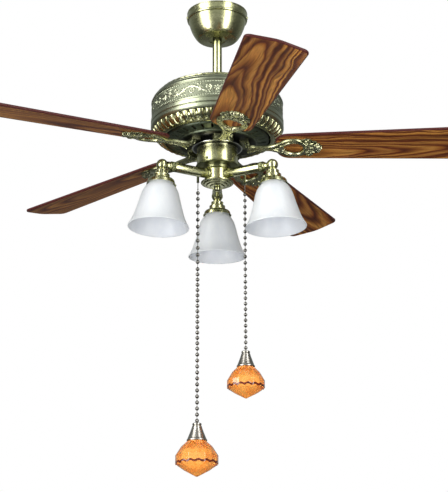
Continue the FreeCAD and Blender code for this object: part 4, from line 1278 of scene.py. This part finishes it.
    # the pad under the motor shell and the riser to it
    pad = rounded_plan([(45.5, -19.5), (65.6, -19.5), (65.6, 19.5), (45.5, 19.5)], [4, 2.5, 2.5, 4], 6)
    for z0, z1, pl in ((4.0, 7.9, pad), (-3.6, 5.0, rounded_plan([(62.6, -17.6), (66.0, -17.6), (66.0, 17.6), (62.6, 17.6)], [1, 1, 1, 1], 3))):
        n = len(pl)
        v = np.vstack([np.column_stack([pl, np.full(n, z0)]), np.column_stack([pl, np.full(n, z1)])])
        f = [list(range(n))[::-1], [n + i for i in range(n)]] + [[i, (i + 1) % n, n + (i + 1) % n, n + i] for i in range(n)]
        parts.append((v, f))
        rels.append(np.full(len(v), 0.25))
    return merge(parts), np.concatenate(rels)


IV, IR = iron_vf()
iron_mesh = build("iron_casting", IV, 50.0, weld=None, attrs={"relief": IR})
iron_mesh.materials.append(BRASS_RELIEF)
for k in range(5):
    piece("blade_%d_iron" % (k + 1), iron_mesh, BRASS_RELIEF, "rotor", ("blade_irons",) if k == 0 else (), trans(0, 0, ZB) @ rot("Z", AZ0 + 72.0 * k))

scr = []
for k in range(5):
    B = blade_matrix(k)
    for r, t in ((151.0, -25.6), (151.0, 25.6), (191.0, 0.0)):
        scr.append(moved(cross_head(4.4, 2.1, 0.9, sink=0.0), B @ trans(r, t, BLADE_T / 2 + 0.04)))
    A = trans(0, 0, ZB) @ rot("Z", AZ0 + 72.0 * k)
    for t in (-13.0, 13.0):
        scr.append(moved(cross_head(4.0, 2.4, 1.0, sink=0.0), A @ trans(61.5, t, -2.4) @ rot("X", 180)))
        scr.append(moved(pipe([(58.0, t, 1.4), (58.0, t, 4.0), (58.0, t, 10.2)], 2.0, 16), A))
piece("blade_screw_set", build("blade_screw_set", merge(scr), 32.0), BRASS_DARK, "rotor", ("blade_screws",))

# ---------------------------------------------------------------- switch plate, housing, light-kit plate, hub, bottom cap
turned("switch_plate_ring", [(8.6, 1.6), (8.6, -1.0), (41.4, -1.0), (49.0, -1.0), (50.4, -0.6), (50.8, 0.1), (50.6, 0.8), (49.8, 1.2), (44.0, 1.2), (43.4, 1.6)],
       PLATE_PAINTED_SHADE, "hung_frame", ("switch_plate",), r=0.3)


def cup_wall():
    """the cup's wall, turned; the slider's slot at the back is framed on it below"""
    n = 240
    th = np.linspace(0, TAU, n, endpoint=False)
    prof = fillet(profile([(40.8, -1.05), (40.8, -3.0), (40.5, -3.6), (40.8, -4.2), (40.8, -34.6), (41.2, -35.2), (41.2, -36.9), (39.6, -36.9), (39.6, -2.6), (30.0, -2.6), (30.0, -1.05)]), 0.45, 3)
    return revolve(prof, n)


piece("switch_cup", build("switch_cup", moved(cup_wall(), trans(0, 0, ZB)), 36.0), BRASS, "hung_frame", ("switch_housing",))
heads = []
for k in range(3):
    a = math.radians(30 + 120 * k)
    heads.append(moved(cross_head(4.0, 2.1, 0.9, sink=8.0), trans(24 * math.cos(a), 24 * math.sin(a), ZB + 113.1)))
    M = trans(0, 0, ZB) @ rot("Z", -120.0 + 120.0 * k) @ trans(40.9, 0, -31.5) @ rot("Y", 90)
    heads.append(moved(cross_head(2.9, 1.7, 0.7, sink=0.3), M))
piece("housing_screw_set", build("housing_screw_set", merge(heads), 32.0), BRASS_DARK, "hung_frame", ("housing_screws",))
# the slider's slot, framed and dark
fr = []
n = 40
slot_plan = rounded_plan([(-3.0, -23.4), (3.0, -23.4), (3.0, -8.6), (-3.0, -8.6)], [2.6, 2.6, 2.6, 2.6], 6)
slot_in = rounded_plan([(-2.2, -22.6), (2.2, -22.6), (2.2, -9.4), (-2.2, -9.4)], [1.9, 1.9, 1.9, 1.9], 6)


def on_wall(P, r):
    a = P[:, 0] / 40.8
    return np.column_stack([r * np.sin(a), r * np.cos(a), P[:, 1]])


m_ = len(slot_plan)
rowsV = [on_wall(slot_plan, 40.7), on_wall(slot_plan, 41.3), on_wall(slot_in, 41.3), on_wall(slot_in, 40.72)]
V = np.vstack(rowsV)
F = [[i * m_ + j, i * m_ + (j + 1) % m_, ((i + 1) % 4) * m_ + (j + 1) % m_, ((i + 1) % 4) * m_ + j] for i in range(4) for j in range(m_)]
piece("slider_frame", build("slider_frame", (V + np.array([0, 0, ZB]), F), 40.0), BRASS, "hung_frame")
V = np.vstack([on_wall(slot_in, 40.84), on_wall(slot_in, 40.60)])
F = [list(range(m_)), [m_ + i for i in range(m_)][::-1]] + [[i, (i + 1) % m_, m_ + (i + 1) % m_, m_ + i] for i in range(m_)]
piece("slider_recess", build("slider_recess", (V + np.array([0, 0, ZB]), F), 40.0), NYLON, "hung_frame")
V, F = merge([(np.array([(x, y, z) for z in (-20.6, -17.0) for x, y in ((-1.7, 41.0), (1.7, 41.0), (1.7, 43.6), (-1.7, 43.6))]),
               [[3, 2, 1, 0], [4, 5, 6, 7], [0, 1, 5, 4], [1, 2, 6, 5], [2, 3, 7, 6], [3, 0, 4, 7]])])
me = build("slider_knob", (V + np.array([0, 0, ZB]), F), 30.0)
bm = bmesh.new(); bm.from_mesh(me)
bmesh.ops.bevel(bm, geom=bm.edges[:], offset=0.0005, segments=3, affect="EDGES")
bm.to_mesh(me); bm.free()
me.shade_smooth()
piece("slider_knob", me, NYLON, "reverse_knob", ("reverse_slider",))

turned("light_kit_ring", [(10.0, -40.0), (41.8, -40.0), (43.0, -39.4), (43.0, -38.0), (42.2, -37.0), (39.5, -37.0), (39.5, -27.0), (38.3, -27.0), (38.3, -38.2), (10.0, -38.2)],
       BRASS_DARK, "hung_frame", ("light_kit_plate",), r=0.4)
turned("fitter_hub_body", [(27.0, -40.05), (27.0, -42.0), (26.6, -42.6), (27.0, -43.2), (27.0, -45.0), (26.2, -46.2), (24.0, -46.8), (22.9, -47.6), (22.6, -49.0), (22.6, -68.6),
                           (23.0, -69.4), (22.6, -70.9), (20.6, -70.9), (20.6, -44.0), (14.0, -44.0), (14.0, -40.05)],
       BRASS, "hung_frame", ("fitter_hub",), n=160, r=0.5)
turned("bottom_cap_turned", [(24.0, -70.95), (31.6, -71.0), (32.7, -72.0), (32.7, -73.2), (31.8, -74.4), (30.4, -74.8), (28.8, -74.6), (28.0, -75.4), (27.4, -76.7), (26.0, -77.2), (22.8, -77.0),
                             (22.0, -77.8), (21.3, -78.9), (20.0, -79.3), (15.2, -79.1), (14.4, -79.9), (13.6, -80.9), (12.0, -81.3), (7.2, -81.2), (6.0, -82.0),
                             [(6.2, -83.2), (6.6, -85.0), (5.8, -87.8), (3.4, -90.1), (0.0, -91.0)],
                             (0.0, -78.0), (13.0, -77.4), (20.6, -75.4), (26.0, -74.6), (27.6, -73.4), (31.2, -73.2), (31.2, -72.4), (19.6, -72.4), (19.6, -71.0)],
       BRASS, "hung_frame", ("bottom_cap",), n=160, r=0.45)

# ---------------------------------------------------------------- light arms and collars
arms, cols = [], []
for side, az in ARM_AZ.items():
    M = trans(0, 0, ZB) @ rot("Z", az) @ trans(0, 0, ARM_Z) @ to_x()
    tube_p = fillet([(9.7, 18.0), (9.7, 97.2), (9.2, 98.0), (8.2, 98.0), (8.2, 18.0)], 0.4, 2)
    esc = fillet([(9.75, 22.3), (11.2, 22.4), (11.4, 23.4), (11.0, 24.6), (9.75, 25.2)], 0.4, 2)
    arms.append(moved(revolve(tube_p, 72), M))
    arms.append(moved(revolve(esc, 72), M))

    def knurl(T, R, Z):
        w = (R > 9.6) & (Z > 99.0) & (Z < 104.8)
        return np.where(w, R - 0.55 * (0.5 - 0.5 * np.cos(24 * T)) ** 0.6, R), Z

    cp = fillet(profile([(6.1, 98.05), (9.9, 98.05), (10.3, 98.6), (10.1, 99.2), (10.2, 99.6), (10.2, 101.0), (10.2, 102.6), (10.2, 104.2), (10.1, 104.7), (10.3, 105.1), (9.9, 105.5), (6.1, 105.5)]), 0.2, 2)
    cols.append(moved(revolve(cp, 192, knurl), M))
piece("light_arm_tubes", build("light_arm_tubes", merge(arms), 36.0), BRASS, "hung_frame", ("light_arms",))
piece("arm_collar_rings", build("arm_collar_rings", merge(cols), 30.0), BRASS_DARK, "hung_frame", ("arm_collars",))


def light_matrix(side):
    return trans(0, 0, ZB) @ rot("Z", ARM_AZ[side]) @ trans(BALL_AT, 0, ARM_Z) @ rot("Y", -TILT)


# ---------------------------------------------------------------- the three lights
def holder_vf():
    def slots(T, R, Z):
        w = (R > 11.9) & (Z < -14.0) & (Z > -20.3)
        k = np.clip((np.abs(np.cos(9 * T)) - 0.45) / 0.25, 0, 1)
        return np.where(w, R - 1.5 * (1 - k), R), Z

    low = profile([(28.3, -41.2), (27.2, -41.4), [(26.0, -37.6), (24.9, -34.5), (22.6, -32.5), (18.6, -30.8), (15.1, -29.6)]], 5)
    pts = [(5.2, -12.6), (11.2, -12.6), (12.4, -13.0), (12.6, -13.8), (12.4, -14.4), (12.5, -15.4), (12.5, -17.0), (12.5, -18.6), (12.5, -19.8), (12.9, -20.5),
           (15.2, -20.8), (16.2, -21.4), (16.4, -22.4), (16.1, -23.0), (16.3, -23.8), (16.3, -27.2), (16.7, -27.8), (16.3, -28.6)]
    up_ = smooth_curve([(16.3, -28.6), (19.0, -29.6), (23.4, -31.3), (26.0, -33.8), (27.2, -37.4), (28.3, -41.2)], 6)
    prof = pts + [tuple(p) for p in up_[1:]] + low[1:] + [(15.1, -22.0), (11.0, -21.6), (11.0, -13.8), (5.2, -13.8)]
    return revolve(fillet(prof, 0.35, 2, least=30), 216, slots)


def shade_vf():
    outer = smooth_curve([(24.2, -39.6), (25.4, -42.6), (28.6, -46.6), (32.4, -52.0), (35.6, -59.0), (38.6, -69.0), (41.4, -80.0), (44.4, -91.0), (47.6, -102.0),
                          (51.0, -112.0), (55.0, -121.0), (59.4, -128.8)], 6)
    inner = smooth_curve([(57.2, -129.7), (52.2, -121.4), (48.3, -112.6), (44.9, -102.8), (41.7, -91.8), (38.7, -80.6), (35.9, -69.8), (33.0, -60.4), (29.8, -53.8),
                          (26.2, -48.4), (22.6, -44.4), (20.6, -40.4)], 6)
    lip = [(59.75, -129.6), (59.5, -130.3), (58.7, -130.6), (57.9, -130.4)]
    prof = [(20.6, -34.4), (24.2, -34.4), (24.2, -36.5)] + [tuple(p) for p in outer] + lip + [tuple(p) for p in inner]
    return revolve(prof, 220)


HV, SV = holder_vf(), shade_vf()
hv_t = np.arctan2(HV[0][:, 1], HV[0][:, 0])
hv_z = HV[0][:, 2]
hv_r = np.hypot(HV[0][:, 0], HV[0][:, 1])
# painted shade: the slot recesses get relief 0.02, the near-black pit colour, standing in for the shade inside the
# gallery's openings
slot_painted_shade = (hv_z < -14.2) & (hv_z > -20.3) & (hv_r > 10.6) & (hv_r < 12.9) & (np.abs(np.cos(9 * hv_t)) < 0.58)
hold_mesh = build("holder_turned", HV, 36.0, weld=None, attrs={"relief": np.where(slot_painted_shade, 0.02, 0.46)})
hold_mesh.materials.append(BRASS_RELIEF)
shade_mesh = build("shade_blown", SV, 45.0)
shade_mesh.materials.append(GLASS)
el = [ball((0, 0, 0), 11.4, 48, 28)]
ring_b = fillet([(11.30, -0.9), (11.62, -0.6), (11.62, 0.6), (11.30, 0.9), (10.6, 0.9), (10.6, -0.9)], 0.2, 2)
el.append(moved(revolve(ring_b, 72), rot("Y", 90) @ rot("Z", 0)))
el.append(revolve(fillet([(3.0, -19.0), (5.1, -19.0), (5.1, -12.7), (8.2, -12.5), (8.6, -11.6), (8.4, -10.6), (7.6, -9.6), (7.0, -8.2), (3.0, -8.2)], 0.4, 3), 64))
elbow_low = merge(el)
el2 = revolve(fillet([(3.0, -31.0), (6.0, -31.0), (6.0, -18.6), (8.4, -18.4), (8.7, -17.4), (8.4, -15.6), (6.6, -15.2), (6.2, -13.4), (6.6, -10.0), (3.0, -10.0)], 0.35, 2), 64)
elbow_arm = moved(el2, rot("Y", TILT) @ to_x())
elbow_mesh = build("elbow_cast", merge([elbow_low, elbow_arm]), 36.0)
elbow_mesh.materials.append(BRASS)
th = []
for g in range(3):
    R_ = rot("Z", 60 + 120 * g)

    def tk(T, R, Z):
        return np.where((R > 2.4) & (Z > 30.0) & (Z < 32.2), R - 0.35 * (0.5 - 0.5 * np.cos(14 * T)), R), Z

    tp = fillet([(0.0, 24.3), (1.5, 24.3), (1.5, 29.6), (2.4, 29.6), (2.9, 30.1), (2.9, 32.1), (2.4, 32.6), (0.0, 32.6)], 0.2, 2, closed=False)
    th.append(moved(revolve(tp, 84, tk, closed=False), R_ @ trans(0, 0, -37.0) @ to_x()))
thumb_mesh = build("thumbscrews", merge(th), 32.0)
thumb_mesh.materials.append(BRASS_DARK)
lamp_p = fillet([(3.2, -22.2), (14.4, -22.2), (14.4, -32.0), (13.4, -34.0), (13.9, -35.0), (13.9, -51.0), (12.95, -51.0), (12.95, -26.5), (3.2, -26.5)], 0.4, 3)
lamp_mesh = build("lampholder_cup", revolve(lamp_p, 96), 36.0)
lamp_mesh.materials.append(PORCELAIN)
bp = [(0.0, -26.8), (5.0, -26.8), (5.6, -28.8)]
for i in range(7):
    z = -30.4 - 2.6 * i
    bp += [(12.5, z), (12.1, z - 1.3)]
bp += [tuple(p) for p in smooth_curve([(12.5, -50.0), (14.0, -54.0), (18.2, -62.0), (21.6, -71.0), (22.6, -80.0), (21.4, -89.0), (17.0, -98.0), (9.6, -104.0), (0.0, -106.0)], 6)]
bulb_mesh = build("bulb_blown", revolve(bp, 72, closed=False), 50.0)
bulb_mesh.materials.append(BULB)
for side in ARM_AZ:
    M = light_matrix(side)
    b = "light_" + side
    piece("elbow_%s_cast" % side, elbow_mesh, None, b, ("elbow_" + side,), M)
    piece("holder_%s" % side, hold_mesh, None, b, ("shade_holder_" + side,), M)
    piece("thumbscrews_%s" % side, thumb_mesh, None, b, (), M)
    piece("lamp_cup_%s" % side, lamp_mesh, None, b, ("lampholder_" + side,), M)
    piece("lamp_%s" % side, bulb_mesh, None, b, ("bulb_" + side,), M)
    piece("shade_%s" % side, shade_mesh, None, b, ("glass_shade_" + side,), M)

# ---------------------------------------------------------------- chain guides: bent bushings
gd = []
for side, c in CHAINS.items():
    pts = smooth_curve([(c["gx"], c["gy"], -36.0), (c["gx"], c["gy"], -42.0), (c["gx"] + 0.25 * (c["x"] - c["gx"]), c["gy"] + 0.25 * (c["y"] - c["gy"]), -46.2),
                        (c["gx"] + 0.80 * (c["x"] - c["gx"]), c["gy"] + 0.80 * (c["y"] - c["gy"]), -48.8), (c["x"], c["y"], -53.0), (c["x"], c["y"], -54.6)], 6)
    gd.append(moved(pipe(pts, 2.5, 20), trans(0, 0, ZB)))
    gd.append(moved(revolve(fillet([(2.4, -42.0), (4.2, -42.0), (4.2, -40.05), (2.4, -40.05)], 0.3, 2), 6), trans(c["gx"], c["gy"], ZB)))
    gd.append(moved(revolve(fillet([(1.5, -69.0), (2.6, -69.0), (3.1, -68.2), (2.6, -67.2), (2.5, -66.6), (2.5, -54.4), (1.5, -54.4)], 0.15, 2), 28), trans(c["x"], c["y"], ZB)))
piece("chain_guide_tubes", build("chain_guide_tubes", merge(gd), 36.0), BRASS_DARK, "hung_frame", ("chain_guides",))

# ---------------------------------------------------------------- the CAD nodes that stay, with their materials
STAY = {
    "ceiling_bracket": ZINC, "hanger_seat": RUBBER, "hanger_ball": NYLON, "rod_pins": ZINC, "motor_yoke": ZINC, "stator_core": LAMINATE, "stator_windings": COPPER,
    "capacitor": NYLON, "pull_switches": NYLON, "reverse_switch": NYLON, "lead_wires": PVC, "rotor_upper": SHELL, "bearings": ZINC,
    "left_chain_leader": GUN, "right_chain_leader": GUN,
}
for node, mat in STAY.items():
    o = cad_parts[node]
    if o.material_slots:
        for s in o.material_slots:
            s.material = mat
    else:
        o.data.materials.append(mat)

# ---------------------------------------------------------------- studio
def emissive(name, col, strength):
    m = bpy.data.materials.new(name)
    m.use_nodes = True
    t = m.node_tree
    t.nodes.clear()
    out = t.nodes.new("ShaderNodeOutputMaterial")
    e = t.nodes.new("ShaderNodeEmission")
    e.inputs[0].default_value = (*col, 1.0)
    e.inputs[1].default_value = strength
    t.links.new(e.outputs[0], out.inputs["Surface"])
    return m


bowl = [(0.0, -9000.0), (9000.0, -9000.0)] + [(9000.0 + 3000 * math.sin(a), -6000.0 - 3000 * math.cos(a)) for a in np.linspace(0.1, math.pi / 2, 8)]
bowl += [(12000.0, 4000.0)] + [(12000 * math.cos(a), 4000 + 8000 * math.sin(a)) for a in np.linspace(0.15, math.pi / 2, 10)]
bowl[-1] = (0.0, 12000.0)
me = build("studio_backdrop", revolve(bowl, 64, closed=False), 180.0)
me.materials.append(emissive("studio_white", (1.0, 1.0, 1.0), 1.0))
drop = bpy.data.objects.new("studio_backdrop", me)
SCENE.collection.objects.link(drop)
drop.visible_diffuse = False
drop.visible_glossy = False
drop.visible_shadow = False

world = bpy.data.worlds.new("studio")
world.use_nodes = True
SCENE.world = world
bg = world.node_tree.nodes.get("Background") or world.node_tree.nodes.new("ShaderNodeBackground")
wt = world.node_tree
wc = wt.nodes.new("ShaderNodeTexCoord")
ws = wt.nodes.new("ShaderNodeSeparateXYZ")
wt.links.new(wc.outputs["Generated"], ws.inputs[0])
wr = wt.nodes.new("ShaderNodeValToRGB")
wm = wt.nodes.new("ShaderNodeMapRange")
wm.inputs["From Min"].default_value = -1.0
wm.inputs["From Max"].default_value = 1.0
wt.links.new(ws.outputs[1], wm.inputs["Value"])
wt.links.new(wm.outputs[0], wr.inputs[0])
we = wr.color_ramp.elements
we[0].position, we[0].color = 0.0, (0.60, 0.63, 0.61, 1.0)
we[1].position, we[1].color = 1.0, (0.30, 0.32, 0.31, 1.0)
for wp, wcol in ((0.14, (0.50, 0.53, 0.51, 1.0)), (0.36, (0.150, 0.160, 0.150, 1.0)), (0.62, (0.140, 0.150, 0.142, 1.0)), (0.86, (0.28, 0.30, 0.29, 1.0))):
    e = we.new(wp)
    e.color = wcol
wz = wt.nodes.new("ShaderNodeMapRange")
wz.inputs["From Min"].default_value = -0.45
wz.inputs["From Max"].default_value = 0.30
wz.inputs["To Min"].default_value = 0.30
wz.inputs["To Max"].default_value = 1.0
wt.links.new(ws.outputs[2], wz.inputs["Value"])
wx = wt.nodes.new("ShaderNodeVectorMath")
wx.operation = "SCALE"
wt.links.new(wr.outputs[0], wx.inputs[0])
wt.links.new(wz.outputs[0], wx.inputs["Scale"])
wt.links.new(wx.outputs[0], bg.inputs[0])
bg.inputs[1].default_value = 1.0


def area(name, loc, target, size, power, col=(1, 1, 1), glossy=True):
    d = bpy.data.lights.new(name, "AREA")
    d.shape = "RECTANGLE"
    d.size, d.size_y = size
    d.energy = power
    d.color = col
    o = bpy.data.objects.new(name, d)
    SCENE.collection.objects.link(o)
    o.location = loc
    o.rotation_euler = (Vector(target) - Vector(loc)).to_track_quat("-Z", "Y").to_euler()
    o.visible_glossy = glossy
    return o


def around(az, dist, z):
    """a place at az degrees from the camera's side, positive to the right"""
    a = math.radians(az)
    return (dist * math.sin(a), -dist * math.cos(a), z)


MID = (0, 0, -0.35)
area("strip_left", around(-51, 2.3, 0.10), (0, 0, 0.0), (1.45, 4.2), 62.0, (1.0, 0.995, 0.95))
area("strip_right", around(42, 2.3, 0.10), (0, 0, 0.0), (0.86, 4.2), 29.0, (1.0, 0.995, 0.95))
for nm, az_, w_, pw in (("sheen_left", -51, 1.45, 48.0), ("sheen_right", 42, 0.86, 48.0)):
    o = area(nm, around(az_, 2.32, 0.10), (0, 0, 0.0), (w_, 4.2), pw, (1.0, 1.0, 0.98))
    o.visible_diffuse = False
    o.visible_transmission = False
area("fill_low", (-0.1, -2.2, -2.2), MID, (2.4, 1.6), 42.0, (1.0, 1.0, 1.0), glossy=False)
area("top_soft", (0.0, 0.4, 1.6), MID, (2.4, 2.4), 9.0, (1.0, 1.0, 1.0), glossy=False)
area("back_soft", (0.0, 2.6, -0.6), MID, (2.6, 2.2), 14.0, (1.0, 1.0, 1.0), glossy=False)
